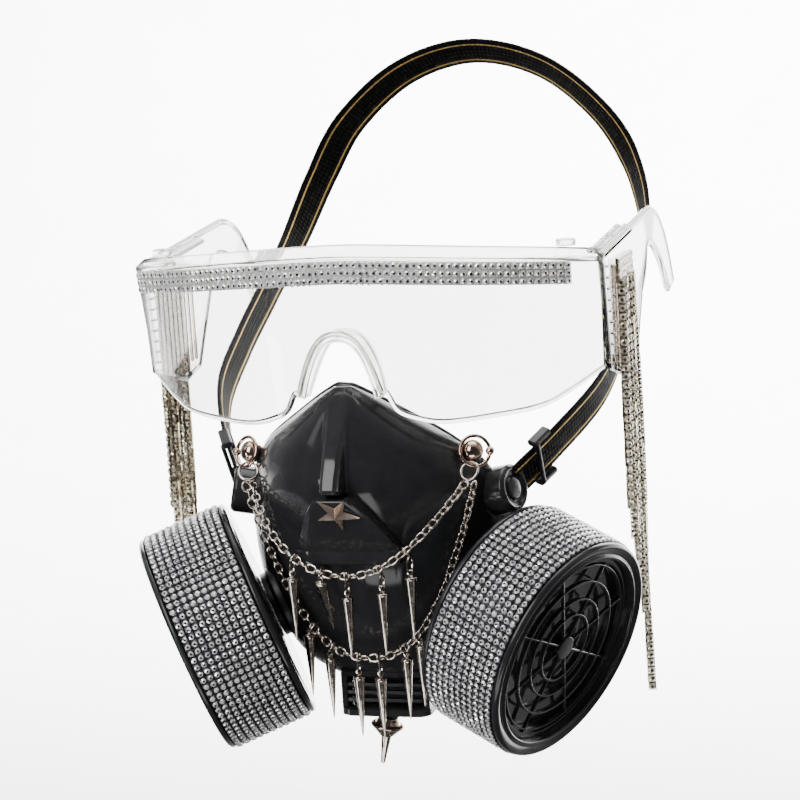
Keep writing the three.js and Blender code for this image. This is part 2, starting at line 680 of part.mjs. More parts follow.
// A five-pointed star with a raised middle, flat on the nose panel.
function starStud() {
  const corners = Array.from({ length: 10 }, (_, i) => {
    const radius = i % 2 ? STAR_RADIUS * STAR_WAIST : STAR_RADIUS;
    const angle = (i * Math.PI) / 5 + THREE.MathUtils.degToRad(STAR_TURN);
    return vec(radius * Math.cos(angle), radius * Math.sin(angle), 0);
  });
  const points = [...corners, vec(0, 0, STAR_HEIGHT), vec(0, 0, 0)];
  const triangles = corners.flatMap((_, i) => [[i, (i + 1) % 10, 10], [(i + 1) % 10, i, 11]]);
  const normal = vec(0, -1, -panelSlope).normalize();
  const seat = vec(STAR_SIDE, -panelForward(STAR_DOWN), -PANEL_TOP - STAR_DOWN).addScaledVector(normal, GAP);
  return placed(body(points, triangles), seat, normal);
}

// A flanged stud with a blunt spike, which leans to the wearer's right and is cut level at its top.
function chinStud() {
  const top = -VENT_TOP - VENT_HEIGHT - GAP;
  const flange = -2.6;
  const collar = flange - 4.8;
  const profile = [[0, CHIN_NECK], [CHIN_NECK, CHIN_NECK], [CHIN_NECK, 0], [CHIN_NECK + 1.4, flange + 0.2],
    [CHIN_FLANGE, flange], [CHIN_FLANGE, flange - 1.4], [CHIN_FLANGE - 1.4, flange - 1.8],
    [2 * CHIN_TIP + 1.6, collar + 0.4], [2 * CHIN_TIP + 0.2, collar], [CHIN_TIP, collar - CHIN_SPIKE],
    [0, collar - CHIN_SPIKE]];
  const stud = turned(profile.reverse(), 14).rotateY(THREE.MathUtils.degToRad(CHIN_LEAN));
  const above = new THREE.BoxGeometry(4 * CHIN_FLANGE, 4 * CHIN_FLANGE, 4 * CHIN_NECK).translate(0, 0, 2 * CHIN_NECK);
  return cut(stud, [above]).translate(0, VENT_FRONT + 5, top);
}

const lensDepth = (x, half, depth) => -LENS_FORWARD + depth * (Math.abs(x) / half) ** LENS_CURVE;
const lensTop = (x) => GOGGLE_TOP - GOGGLE_DROOP * (Math.abs(x) / GOGGLE_HALF) ** 1.6;

// The lens's lower edge: an arch over the nose, a low stretch beside it and a rise to the side arms.
// side is a share of the half width, low a share of the lowest drop under the bridge.
const LENS_EDGE = [
  { side: 0.2, low: 0.15 }, { side: 0.235, low: 0.62 }, { side: 0.3, low: 0.86 }, { side: 0.41, low: 1.04 },
  { side: 0.6, low: 1.0 }, { side: 0.78, low: 0.88 }, { side: 0.87, low: 0.6 }, { side: 1.0, low: 0.05 },
];

// The nose arch's height at a share of its half width; its legs reach down to the mask's rim.
const archHeight = (share, top) => top - (top + ARCH_LEG) * Math.abs(share) ** 2.6;

function lensLow(x) {
  const side = Math.abs(x);
  const edge = -LENS_LOW * between(LENS_EDGE, "side", "low", Math.max(side / LENS_LOW_HALF, LENS_EDGE[0].side));
  const arch = archHeight(side / (ARCH_HALF + ARCH_THICK), ARCH_TOP + ARCH_THICK);
  return side < ARCH_HALF + ARCH_THICK ? Math.max(edge, arch) : edge;
}

// A point of the lens's outer face. level 0 is the lower edge, 1 the top edge, and past 1 the brow ledge.
function lensPoint(across, level, inset) {
  const up = Math.min(level, 1);
  const half = LENS_LOW_HALF + (GOGGLE_HALF - LENS_LOW_HALF) * up;
  const x = across * half;
  const low = lensLow(x);
  const z = low + (lensTop(x) - low) * up;
  const lean = (z + LENS_LOW) / (GOGGLE_TOP + LENS_LOW);
  const depth = LENS_LOW_DEPTH + (LENS_TOP_DEPTH - LENS_LOW_DEPTH) * lean;
  const y = lensDepth(x, half, depth);
  const slope = (depth * LENS_CURVE * Math.abs(across) ** (LENS_CURVE - 1)) / half;
  const out = vec(Math.sign(x) * slope, -1, 0).normalize();
  const point = vec(x, y, z).addScaledVector(out, -inset);
  if (level > 1) {
    const back = level - 1;
    const reach = (LEDGE_DEPTH - inset) * (1 - 0.7 * Math.abs(across) ** 8);
    point.addScaledVector(out, -reach * back);
    point.z += LEDGE_RISE * back - inset;
  }
  return point;
}

function lensColumns() {
  return Array.from({ length: LENS_COLUMNS + 1 }, (_, j) => {
    const t = (2 * j) / LENS_COLUMNS - 1;
    return Math.sign(t) * Math.abs(t) ** 1.25;
  });
}

function gogglesLens() {
  const levels = [0, 0.45, 0.985, 1.0001, 2];
  const grid = (inset) => levels.map((level) => lensColumns().map((across) => lensPoint(across, level, inset)));
  const lens = wallBetween(grid(0), grid(LENS_THICK));
  return joined([lens, cut(noseArch(), [SHELL_CUTTER])]);
}

// A bent strip round the nose opening, which reaches back from the lens.
function noseArch() {
  const curve = (half, top) => (t) => vec(half * t, 0, archHeight(t, top));
  const outer = curve(ARCH_HALF + ARCH_THICK, ARCH_TOP + ARCH_THICK);
  const inner = curve(ARCH_HALF, ARCH_TOP);
  const spread = (line, back) => Array.from({ length: 17 }, (_, i) => {
    const t = i / 8 - 1;
    return line(Math.sign(t) * Math.abs(t) ** 0.8).add(vec(0, back, 0));
  });
  const front = -LENS_FORWARD + 0.8;
  return wallBetween([spread(outer, front), spread(outer, front + ARCH_DEPTH)],
    [spread(inner, front), spread(inner, front + ARCH_DEPTH)]);
}

const armSide = GOGGLE_HALF - 1.4;
const armFront = (z) => lensDepth(GOGGLE_HALF, GOGGLE_HALF,
  LENS_LOW_DEPTH + ((LENS_TOP_DEPTH - LENS_LOW_DEPTH) * (z + LENS_LOW)) / (GOGGLE_TOP + LENS_LOW)) + 2.8;
const armTop = lensTop(GOGGLE_HALF);
const armLow = -1;

// The side arm: a shield with a ladder of slots, an arm over the ear and its drooping end.
function sideArm() {
  const start = armFront(armTop);
  const end = start + ARM_LENGTH;
  const top = armTop + ARM_RISE;
  const shape = new THREE.Shape();
  shape.moveTo(start, armTop);
  shape.lineTo(end, top);
  shape.quadraticCurveTo(end + ARM_HOOK * 0.6, top, end + ARM_HOOK, top - ARM_HOOK_DROP);
  shape.lineTo(end + ARM_HOOK - ARM_TIP, top - ARM_HOOK_DROP - 2);
  shape.quadraticCurveTo(end + ARM_HOOK * 0.35, top - ARM_HEIGHT, end - 6, top - ARM_HEIGHT);
  shape.lineTo(start + SHIELD_LENGTH + 4, armTop - ARM_HEIGHT * 1.4);
  shape.lineTo(start + SHIELD_LENGTH - SHIELD_HEEL, armTop - SHIELD_DROP + 3);
  shape.lineTo(start + SHIELD_LENGTH - SHIELD_TOE, armTop - SHIELD_DROP);
  shape.lineTo(armFront(armLow), armLow);
  shape.closePath();
  const plate = new THREE.ExtrudeGeometry(shape, { depth: ARM_THICK, bevelEnabled: false, curveSegments: 6 });
  plate.applyMatrix4(new THREE.Matrix4().makeBasis(vec(0, 1, 0), vec(0, 0, 1), vec(1, 0, 0)));
  plate.translate(armSide - ARM_THICK / 2, 0, 0);
  const slope = Math.atan2(ARM_RISE, ARM_LENGTH);
  const flange = new THREE.BoxGeometry(FLANGE_WIDTH, ARM_STRIP_LENGTH + 4, FLANGE_THICK)
    .translate(-FLANGE_WIDTH / 2 + ARM_THICK / 2, FLANGE_START + ARM_STRIP_LENGTH / 2, -FLANGE_THICK / 2)
    .rotateX(slope)
    .translate(armSide, start, armTop);
  const pitch = (armTop - armLow - 8) / SHIELD_SLOTS;
  const slots = Array.from({ length: SHIELD_SLOTS }, (_, i) => {
    const z = armTop - 6 - pitch * (i + 0.5);
    return new THREE.BoxGeometry(4 * ARM_THICK, 4.5, pitch * 0.6).translate(armSide, armFront(z) + 7, z);
  });
  return cut(joined([plate, flange]), slots);
}

// The crystal strip along the lens's top edge.
function frontStrip() {
  const columns = Array.from({ length: STRIP_COLUMNS + 1 }, (_, j) =>
    STRIP_LEFT + ((STRIP_RIGHT - STRIP_LEFT) * j) / STRIP_COLUMNS);
  const grid = (inset) => [0, STRIP_HEIGHT].map((drop) => columns.map((across) => {
    const height = lensTop(across * GOGGLE_HALF) - lensLow(across * GOGGLE_HALF);
    return lensPoint(across, 1 - (STRIP_DOWN + drop) / height, inset);
  }));
  return wallBetween(grid(-GAP - STRIP_THICK), grid(-GAP));
}

function armStrip() {
  const slope = Math.atan2(ARM_RISE, ARM_LENGTH);
  return new THREE.BoxGeometry(ARM_STRIP_WIDTH, ARM_STRIP_LENGTH, STRIP_THICK)
    .translate(-FLANGE_WIDTH / 2 + ARM_THICK / 2, FLANGE_START + ARM_STRIP_LENGTH / 2, STRIP_THICK / 2 + GAP)
    .rotateX(slope)
    .translate(armSide, armFront(armTop), armTop);
}

// Strands of stones that hang from a head strip on the outside of the shield, longer towards the back.
function fringe() {
  const side = armSide + ARM_THICK / 2 + GAP;
  const first = armFront(armTop) + FRINGE_START;
  const head = armTop - 4;
  const width = (FRINGE_STRANDS - 1) * FRINGE_PITCH + 2 * FRINGE_STRAND;
  const plate = new THREE.BoxGeometry(FRINGE_STRAND, width, FRINGE_HEAD)
    .translate(side + FRINGE_STRAND / 2, first + width / 2 - FRINGE_STRAND, head - FRINGE_HEAD / 2);
  const strands = Array.from({ length: FRINGE_STRANDS }, (_, i) => {
    const share = 0.55 + 0.34 * (i / (FRINGE_STRANDS - 1)) + (i === FRINGE_STRANDS - 1 ? 0.11 : 0);
    const length = FRINGE_LENGTH * share;
    return turned([[0, -length], [FRINGE_STRAND, -length], [FRINGE_STRAND, -1], [0, -1]], 6)
      .translate(side + FRINGE_STRAND, first + i * FRINGE_PITCH, head);
  });
  return joined([plate, ...strands]);
}

// A hinge barrel under the ledge's end, where the arm is pinned.
function hingeBoss() {
  const x = armSide - 11;
  const y = lensDepth(x, GOGGLE_HALF, LENS_TOP_DEPTH) + 9;
  const boss = turned([[0, 0], [BOSS_RADIUS, 0], [BOSS_RADIUS, BOSS_HEIGHT], [0, BOSS_HEIGHT]], 14);
  return boss.translate(x, y, lensTop(x) + LEDGE_RISE + GAP);
}

add("face_shell", faceShell(), BLACK_PLASTIC);
add("nose_panel", nosePanel(), BLACK_PLASTIC);
add("vent_housing", ventHousing(), BLACK_PLASTIC);
addPair("cartridge_body", cartridgeBody(), BLACK_PLASTIC);
addPair("cartridge_grille", grille(), BLACK_PLASTIC);
addPair("stone_sleeve", stoneSleeve(), CRYSTAL);
addPair("filter_port", filterPort(), BLACK_PLASTIC);
addPair("strap_lug", strapLug(), BLACK_PLASTIC);
add("head_strap", headStrap(), ELASTIC);
addPair("strap_buckle", strapBuckle(), BLACK_PLASTIC);
addPair("cheek_stud", cheekStud(), NICKEL);
addPair("stud_ring", studRing(), NICKEL);
addPair("jump_ring", jumpRing(), NICKEL);
add("upper_chain", chainForm(upperChainPoint, UPPER_DROP), NICKEL);
add("lower_chain", chainForm(lowerChainPoint, LOWER_DROP), NICKEL);
addSpikes("upper", upperChainPoint, UPPER_SPIKES);
addSpikes("lower", lowerChainPoint, LOWER_SPIKES);
add("star_stud", starStud(), BRONZE);
add("chin_stud", chinStud(), NICKEL);
add("goggle_lens", gogglesLens(), CLEAR_PLASTIC);
addPair("side_arm", sideArm(), CLEAR_PLASTIC);
addPair("hinge_boss", hingeBoss(), CLEAR_PLASTIC);
add("front_strip", frontStrip(), CRYSTAL);
addPair("arm_strip", armStrip(), CRYSTAL);
addPair("fringe", fringe(), GOLD_CRYSTAL);

export default group;
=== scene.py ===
"""Gas mask style costume mask: a half mask with crystal-covered cartridges, goggles, chains and spikes."""

import math

import bmesh
import bpy
import numpy as np
from bpy.props import FloatProperty, FloatVectorProperty, PointerProperty
from mathutils import Matrix


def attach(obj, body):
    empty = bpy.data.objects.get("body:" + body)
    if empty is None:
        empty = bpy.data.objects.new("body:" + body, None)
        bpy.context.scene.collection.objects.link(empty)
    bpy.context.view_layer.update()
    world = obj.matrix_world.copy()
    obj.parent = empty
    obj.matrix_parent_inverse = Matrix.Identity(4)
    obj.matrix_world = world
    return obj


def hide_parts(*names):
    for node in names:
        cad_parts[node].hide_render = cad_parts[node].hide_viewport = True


bl_info = {
    "name": "Gas mask style costume mask",
    "version": (1, 0, 0),
    "blender": (4, 5, 0),
    "location": "3D View > Sidebar > Mask",
    "description": "Builds the dressed costume mask over its fixed frame, with a plain stage",
    "category": "Object",
}

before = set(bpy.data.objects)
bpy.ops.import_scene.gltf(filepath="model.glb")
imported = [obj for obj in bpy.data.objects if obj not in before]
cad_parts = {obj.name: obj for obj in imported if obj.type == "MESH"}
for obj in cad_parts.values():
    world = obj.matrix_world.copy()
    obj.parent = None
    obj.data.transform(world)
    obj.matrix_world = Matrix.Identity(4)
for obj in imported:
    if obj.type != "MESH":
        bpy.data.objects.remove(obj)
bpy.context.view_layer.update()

MM = 0.001
GAP = 0.3

# The face shell: height, half width, depth behind the bridge and reach of the nose, in millimetres
SHELL_HEIGHT, SHELL_HALF, SHELL_DEPTH, NOSE_REACH, SHELL_WALL = 119.0, 51.0, 40.0, 26.5, 2.5

# The shell's sections: share of the height, half width, ridge, rim, and the power of the section's curve
SHELL_SECTIONS = np.array([
    # down   half   front   rim   full
    [0.0, 0.07, -0.06, 0.05, 1.9],
    [0.03, 0.19, -0.2, 0.1, 1.8],
    [0.085, 0.38, -0.38, 0.22, 1.7],
    [0.18, 0.68, -0.56, 0.4, 1.6],
    [0.26, 0.84, -0.635, 0.6, 1.52],
    [0.32, 0.91, -0.6, 0.73, 1.5],
    [0.4, 0.965, -0.45, 0.86, 1.5],
    [0.48, 0.99, -0.27, 0.94, 1.5],
    [0.56, 1.0, -0.11, 0.99, 1.47],
    [0.66, 0.97, 0.08, 1.0, 1.45],
    [0.76, 0.9, 0.36, 1.0, 1.48],
    [0.86, 0.78, 0.64, 0.98, 1.6],
    [0.93, 0.62, 0.83, 0.95, 1.8],
    [0.975, 0.42, 1.0, 0.92, 1.9],
    [1.0, 0.26, 1.1, 0.9, 2.0],
])

# The nose ridge: how far it stands ahead, its half width, and where it starts, is highest and ends
RIDGE_REACH, RIDGE_HALF, RIDGE_TOP, RIDGE_LOW, RIDGE_END = 9.5, 4.0, 2.0, 33.7, 4.5

# The nose panel
PANEL_TOP, PANEL_HEIGHT, PANEL_LIP = 37.0, 27.0, 5.0
PANEL_TOP_HALF, PANEL_LOW_HALF = 6.0, 19.5
PANEL_TOP_FORWARD, PANEL_LOW_FORWARD = 25.0, 9.5
PANEL_POINTS = 25

# The vent housing
VENT_HALF, VENT_TOP, VENT_HEIGHT, VENT_FRONT, VENT_DEPTH = 17.5, 113.0, 18.0, 24.0, 20.0

# The cartridges: the middle of the outer face, the axis, and the turned profile's sizes
CARTRIDGE_PLACE = np.array([75.4, 16.3, -102.1])
CARTRIDGE_AXIS = np.array([0.867, -0.359, -0.346])
CARTRIDGE_RADIUS, CARTRIDGE_DEPTH, RIM_LIP, FLANGE, BARREL_INSET = 43.0, 36.5, 2.5, 3.0, 1.6
RECESS_RADIUS, RECESS_DEPTH, GRILLE_DROP = 37.0, 7.0, 3.2
PORT_RADIUS, PORT_LENGTH = 14.0, 12.0

# The strap's middle line: way, side, back and rise, as shares of its half width, reach and height
STRAP_WIDTH, STRAP_THICK, STRAP_HALF, STRAP_BACK, STRAP_RISE = 15.0, 1.5, 79.0, 203.0, 110.0
STRAP_ROUTE = np.array([
    [0.0, 0.68, 0.16, -0.385],
    [0.1, 0.815, 0.25, -0.29],
    [0.22, 0.965, 0.4, -0.155],
    [0.34, 1.0, 0.56, -0.02],
    [0.46, 1.0, 0.72, 0.115],
    [0.58, 0.965, 0.885, 0.29],
    [0.7, 0.86, 0.975, 0.52],
    [0.8, 0.69, 0.99, 0.72],
    [0.9, 0.38, 1.0, 0.9],
    [1.0, 0.0, 1.0, 0.97],
    [1.1, -0.38, 1.0, 0.9],
])
LUG_PLACE = np.array([51.5, 28.0, -44.0])
LUG_AXIS = np.array([0.93, -0.28, 0.2])
LUG_RADIUS, LUG_STEM = 9.0, 10.0
BUCKLE_AT, BUCKLE_LENGTH = 0.93, 10.0

# The cheek studs with their rings
STUD_PLACE = np.array([42.4, 15.6, -27.1])
STUD_AXIS = np.array([0.7, -0.7, 0.1])
RING_AXIS = np.array([0.5, -0.8, 0.33])
STUD_BALL, RING_RADIUS, RING_WIRE, RING_FORWARD, RING_PULL = 4.2, 5.6, 0.55, 2.1, 25.0
JUMP_RADIUS, JUMP_WIRE, JUMP_TURN, BEAD_RADIUS = 3.45, 0.5, 45.0, 1.65

# The chains and their spikes: each spike's distance off the middle, its neck, and how far it swings back
UPPER_DROP, UPPER_CLEAR, LOWER_DROP, CHAIN_RADIUS = 29.6, 1.8, 66.4, 1.3
SPIKE_LENGTH, SPIKE_RADIUS, SPIKE_LOOP, SPIKE_WIRE = 23.3, 2.2, 2.1, 0.4
UPPER_SPIKES = ((-19.2, 5.6, 0.0), (-8.8, 1.8, 28.0), (0.6, 5.5, 0.0), (12.9, 6.8, 0.0), (22.7, 7.8, 0.0))
LOWER_SPIKES = ((-21.3, 1.8, 0.0), (-14.1, 2.6, 0.0), (-4.3, 5.0, 0.0), (3.6, 5.4, 0.0), (13.2, 1.8, 0.0),
                (18.6, 1.8, 0.0))
LINK_LENGTH, LINK_WIDTH, LINK_WIRE, LINK_PITCH = 4.7, 3.6, 0.47, 3.25

# The star and the chin stud
STAR_RADIUS, STAR_HEIGHT, STAR_WAIST, STAR_SIDE, STAR_DOWN, STAR_TURN = 8.4, 3.2, 0.36, 1.6, 5.0, -14.0
CHIN_FLANGE, CHIN_SPIKE, CHIN_TIP, CHIN_LEAN = 6.4, 11.2, 0.85, 11.0

# The goggles
GOGGLE_HALF, GOGGLE_TOP, GOGGLE_DROOP = 90.0, 47.5, 7.0
LENS_THICK, LENS_FORWARD, LENS_TOP_DEPTH, LENS_LOW_DEPTH = 2.0, 5.0, 37.0, 46.0
LENS_LOW_HALF, LENS_CURVE, LENS_LOW, LEDGE_DEPTH, LEDGE_RISE = 88.0, 2.3, 13.0, 13.0, 2.8
ARCH_HALF, ARCH_TOP, ARCH_LEG, ARCH_THICK, ARCH_DEPTH = 14.8, 17.0, 9.0, 2.6, 11.0
LENS_EDGE = np.array([
    [0.2, 0.15], [0.235, 0.62], [0.3, 0.86], [0.41, 1.04], [0.6, 1.0], [0.78, 0.88], [0.87, 0.6], [1.0, 0.05],
])
ARM_THICK, ARM_LENGTH, ARM_RISE, ARM_HOOK, ARM_HOOK_DROP, ARM_HEIGHT = 2.2, 86.0, 6.0, 43.0, 34.0, 12.0
SHIELD_LENGTH, SHIELD_DROP, SHIELD_SLOTS, LOUVRES, LOUVRE_PITCH = 66.0, 50.0, 8, 9, 4.2
FLANGE_WIDTH, FLANGE_THICK, FLANGE_START, BOSS_RADIUS, BOSS_HEIGHT = 7.0, 2.0, 5.0, 3.6, 2.4
STRIP_HEIGHT, STRIP_DOWN, STRIP_LEFT, STRIP_RIGHT = 8.4, 1.5, -0.97, 0.88
ARM_STRIP_LENGTH = 46.0
FRINGE_STRANDS, FRINGE_PITCH, FRINGE_LENGTH, FRINGE_HEAD, FRINGE_START = 6, 4.4, 170.0, 9.0, 20.0

# Crystals: the pitch of the mesh, and a stone's radius on the sleeves, the brow strip and the fringes
STONE_PITCH, FRINGE_STEP = 2.8, 3.2
STONE_RADIUS, BROW_STONE, FRINGE_STONE = 1.12, 1.22, 1.4
SLEEVE_ROWS, BROW_STONES, ARM_STONES = 11, 72, 16

# Camera, from the photograph: where it stands, its axes in the frame, and its lens on a 36 mm sensor
EYE_PLACE = (0.3075, -0.9369, 0.1674)
EYE_RIGHT, EYE_UP, EYE_BACK = (0.9576, 0.2814, -0.0618), (0.0094, 0.1841, 0.9829), (0.2879, -0.9418, 0.1736)
EYE_LENS, EYE_SENSOR = 125.1, 36.0

# Soft boxes, in metres: name, place, target, size, share of the light's power, spread in degrees
SOFT_BOXES = (
    ("ridge_box", (-0.28, -0.84, 0.52), (0, 0, -0.02), (0.45, 0.85), 1.3, 180),
    ("key_box", (-1.15, -0.55, 0.8), (0, 0, -0.02), (0.3, 0.7), 0.15, 180),
    ("left_strip", (-0.7, -0.75, -0.45), (0, 0, -0.08), (0.12, 0.6), 0.35, 180),
    ("low_box", (0.1, -0.7, -0.8), (0, 0, -0.12), (0.8, 0.4), 0.5, 180),
    ("top_box", (0.0, 0.3, 1.4), (0, 0.1, 0), (1.4, 1.0), 2.0, 180),
    ("sweep_box", (0.0, 0.7, 2.0), (0, 2.0, 0.4), (2.8, 1.0), 36.0, 95),
)


# Arrays

def unit(vector):
    """The vectors divided by their own lengths."""
    vector = np.asarray(vector, float)
    return vector / np.linalg.norm(vector, axis=-1, keepdims=True)


def between(table, column, share):
    """A smooth value between a table's rows: a cubic through two rows, with slopes from their neighbours."""
    share = np.asarray(share, float)
    keys, values = table[:, 0], table[:, column]
    last = len(keys) - 1
    upper = np.clip(np.searchsorted(keys, share), 1, last)
    lower = upper - 1
    before, after = np.maximum(upper - 2, 0), np.minimum(upper + 1, last)
    width = keys[upper] - keys[lower]
    rise_in = (values[upper] - values[before]) / (keys[upper] - keys[before]) * width
    rise_out = (values[after] - values[lower]) / (keys[after] - keys[lower]) * width
    t = (share - keys[lower]) / width
    return ((2 * t**3 - 3 * t**2 + 1) * values[lower] + (t**3 - 2 * t**2 + t) * rise_in
            + (3 * t**2 - 2 * t**3) * values[upper] + (t**3 - t**2) * rise_out)


def turn_to(direction):
    """The shortest turn that takes +Z to a direction, as a 3 by 3 matrix."""
    x, y, z = unit(direction)
    cross = np.array([[0, 0, x], [0, 0, y], [-x, -y, 0]])
    return np.eye(3) + cross + cross @ cross / (1 + z)


def spun(vector, axis, degrees):
    """A vector carried round an axis by an angle."""
    vector, axis, angle = np.asarray(vector, float), unit(axis), math.radians(degrees)
    return (vector * math.cos(angle) + np.cross(axis, vector) * math.sin(angle)
            + axis * (vector @ axis)[..., None] * (1 - math.cos(angle)))


def placed(shape, place, direction):
    """A shape made along +Z, turned to a direction and moved to a place."""
    verts, faces = shape
    return verts @ turn_to(direction).T + np.asarray(place), faces


def mirrored(shape):
    """A shape's copy across the middle plane, with its faces turned to point out again."""
    verts, faces = shape
    return verts * [-1, 1, 1], [face[::-1] for face in faces]


def grid_faces(rows, columns, around=False, along=False, start=0):
    """Quads over a grid of points, joined to its first column or row where it closes on itself."""
    i, j = np.meshgrid(np.arange(rows if along else rows - 1),
                       np.arange(columns if around else columns - 1), indexing="ij")
    k, m = (i + 1) % rows, (j + 1) % columns
    quads = np.stack([i * columns + j, i * columns + m, k * columns + m, k * columns + j], -1)
    return (quads.reshape(-1, 4) + start).tolist()


def joined(shapes):
    """Several shapes as one list of points and faces."""
    counts = np.cumsum([0] + [len(verts) for verts, _ in shapes])
    faces = [[v + int(start) for v in face] for (_, part), start in zip(shapes, counts) for face in part]
    return np.concatenate([verts for verts, _ in shapes]), faces


def turned(profile, sides):
    """A turned body: each point of the profile, radius and height, carried round +Z in a full circle."""
    profile = np.asarray(profile, float)
    angle = np.linspace(0, 2 * math.pi, sides, endpoint=False)
    radius, height = profile[:, :1], profile[:, 1:]
    ring = np.stack([radius * np.cos(angle), radius * np.sin(angle), height + 0 * angle], -1)
    return ring.reshape(-1, 3), grid_faces(len(profile), sides, around=True)


def smooth_profile(corners, steps=4, ease=0.35):
    """A profile with each inner corner cut back and rounded by a quadratic curve through it."""
    corners = np.asarray(corners, float)
    points = [corners[0]]
    for a, b, c in zip(corners[:-2], corners[1:-1], corners[2:]):
        reach = min(ease, 0.45 * np.linalg.norm(b - a), 0.45 * np.linalg.norm(c - b))
        start, end = b + unit(a - b) * reach, b + unit(c - b) * reach
        t = np.linspace(0, 1, steps + 1)[:, None]
        points.extend((1 - t)**2 * start + 2 * t * (1 - t) * b + t**2 * end)
    points.append(corners[-1])
    return np.array(points)


def tube(path, radius, sides=8, closed=False):
    """A round wire: a circle of the radius carried along a path, square to it, without twisting."""
    path = np.asarray(path, float)
    if closed:
        along = unit(np.roll(path, -1, 0) - np.roll(path, 1, 0))
    else:
        along = unit(np.gradient(path, axis=0))
    spare = np.eye(3)[np.argmin(np.abs(along).max(0))]
    first = unit(np.cross(along, spare))
    second = np.cross(along, first)
    angle = np.linspace(0, 2 * math.pi, sides, endpoint=False)
    radius = np.broadcast_to(np.asarray(radius, float), (len(path),))[:, None, None]
    ring = (path[:, None] + radius * (first[:, None] * np.cos(angle)[None, :, None]
                                      + second[:, None] * np.sin(angle)[None, :, None]))
    faces = grid_faces(len(path), sides, around=True, along=closed)
    if not closed:
        faces += [list(range(sides))[::-1], list(range((len(path) - 1) * sides, len(path) * sides))]
    return ring.reshape(-1, 3), faces


def run_along(line):
    """The length of a line up to each of its points."""
    return np.concatenate([[0], np.cumsum(np.linalg.norm(np.diff(line, axis=0), axis=1))])


def at_lengths(line, run, marks):
    """The points of a line at given lengths along it."""
    return np.stack([np.interp(marks, run, line[:, k]) for k in range(line.shape[1])], -1)


def ring_wire(radius, wire, segments=28, sides=8):
    """A wire ring about +Z."""
    angle = np.linspace(0, 2 * math.pi, segments, endpoint=False)
    path = np.stack([radius * np.cos(angle), radius * np.sin(angle), 0 * angle], -1)
    return tube(path, wire, sides, closed=True)


def wall(outer, inner):
    """A wall between two grids of points that face each other, closed along its four edges."""
    rows, columns = outer.shape[:2]
    count = rows * columns
    faces = grid_faces(rows, columns)
    faces += [[v + count for v in face[::-1]] for face in grid_faces(rows, columns)]
    index = np.arange(count).reshape(rows, columns)
    border = np.concatenate([index[0, :-1], index[:-1, -1], index[-1, :0:-1], index[:0:-1, 0]])
    after = np.roll(border, -1)
    faces += np.stack([after, border, border + count, after + count], -1).tolist()
    return np.concatenate([outer.reshape(-1, 3), inner.reshape(-1, 3)]), faces


def block(size, corner=0.3):
    """A box about the origin with its edges cut at 45 degrees by the corner's size."""
    x, y, z = np.asarray(size, float) / 2
    c = corner
    loops = []
    for height, inset in ((-z, c), (-z + c, 0), (z - c, 0), (z, c)):
        px, py = x - inset, y - inset
        ring = [[c - px, -py], [px - c, -py], [px, c - py], [px, py - c],
                [px - c, py], [c - px, py], [-px, py - c], [-px, c - py]]
        loops.append([[*point, height] for point in ring])
    verts = np.array(loops).reshape(-1, 3)
    return verts, grid_faces(4, 8, around=True) + [list(range(8))[::-1], list(range(24, 32))]


def copies(shape, turns, places):
    """Copies of one shape, each turned by its own matrix and moved to its own place."""
    verts, faces = shape
    everywhere = np.einsum("nij,vj->nvi", turns, verts) + places[:, None]
    steps = np.arange(len(places)) * len(verts)
    every = []
    for size in sorted({len(face) for face in faces}):
        same = np.array([face for face in faces if len(face) == size])
        every += (same[None] + steps[:, None, None]).reshape(-1, size).tolist()
    return everywhere.reshape(-1, 3), every


# Pieces

def make_piece(name, parts, stands_for=(), flat=()):
    """One object from (shape, material) pairs in millimetres, riding on the root and standing for its nodes.

    Parts whose number is in flat keep sharp facets, and every face is turned to point out.
    """
    mesh = bpy.data.meshes.new(name)
    verts, faces = joined([shape for shape, _ in parts])
    mesh.from_pydata((verts * MM).tolist(), [], faces)
    materials = list(dict.fromkeys(material for _, material in parts))
    for material in materials:
        mesh.materials.append(material)
    counts = [len(shape[1]) for shape, _ in parts]
    index = np.repeat([materials.index(material) for _, material in parts], counts)
    smooth = np.repeat([number not in flat for number in range(len(parts))], counts)
    mesh.polygons.foreach_set("material_index", index.astype(np.int32))
    mesh.polygons.foreach_set("use_smooth", smooth)
    mesh.update()
    thing = bpy.data.objects.new(name, mesh)
    bpy.context.scene.collection.objects.link(thing)
    face_out(mesh)
    if stands_for:
        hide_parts(*stands_for)
    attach(thing, "root")
    return thing


def face_out(mesh):
    """Merges doubled points and turns every face to point out."""
    shape = bmesh.new()
    shape.from_mesh(mesh)
    bmesh.ops.remove_doubles(shape, verts=shape.verts, dist=1e-7)
    bmesh.ops.recalc_face_normals(shape, faces=shape.faces)
    shape.to_mesh(mesh)
    shape.free()
    mesh.update()


def keep_edges(thing, angle):
    """Smooth shading with an edge kept sharp where its faces meet at more than an angle."""
    thing.data.set_sharp_from_angle(angle=math.radians(angle))


def sharp_piece(name, parts, node, angle):
    """A piece that stands for one node, with its edges kept sharp."""
    keep_edges(make_piece(name, parts, [node]), angle)


def both(shape):
    """The left shape with its name, and the right one."""
    return (("left", shape), ("right", mirrored(shape)))


def pairs(shapes):
    """Each side's name with that side's copies of several shapes."""
    return [(side[0][0], [shape for _, shape in side]) for side in zip(*[both(shape) for shape in shapes])]


# Materials

def linear(hex_colour, alpha=1.0):
    """An sRGB hex colour as linear red, green and blue."""
    parts = [int(hex_colour[i:i + 2], 16) / 255 for i in (1, 3, 5)]
    return (*[c / 12.92 if c <= 0.04045 else ((c + 0.055) / 1.055)**2.4 for c in parts], alpha)


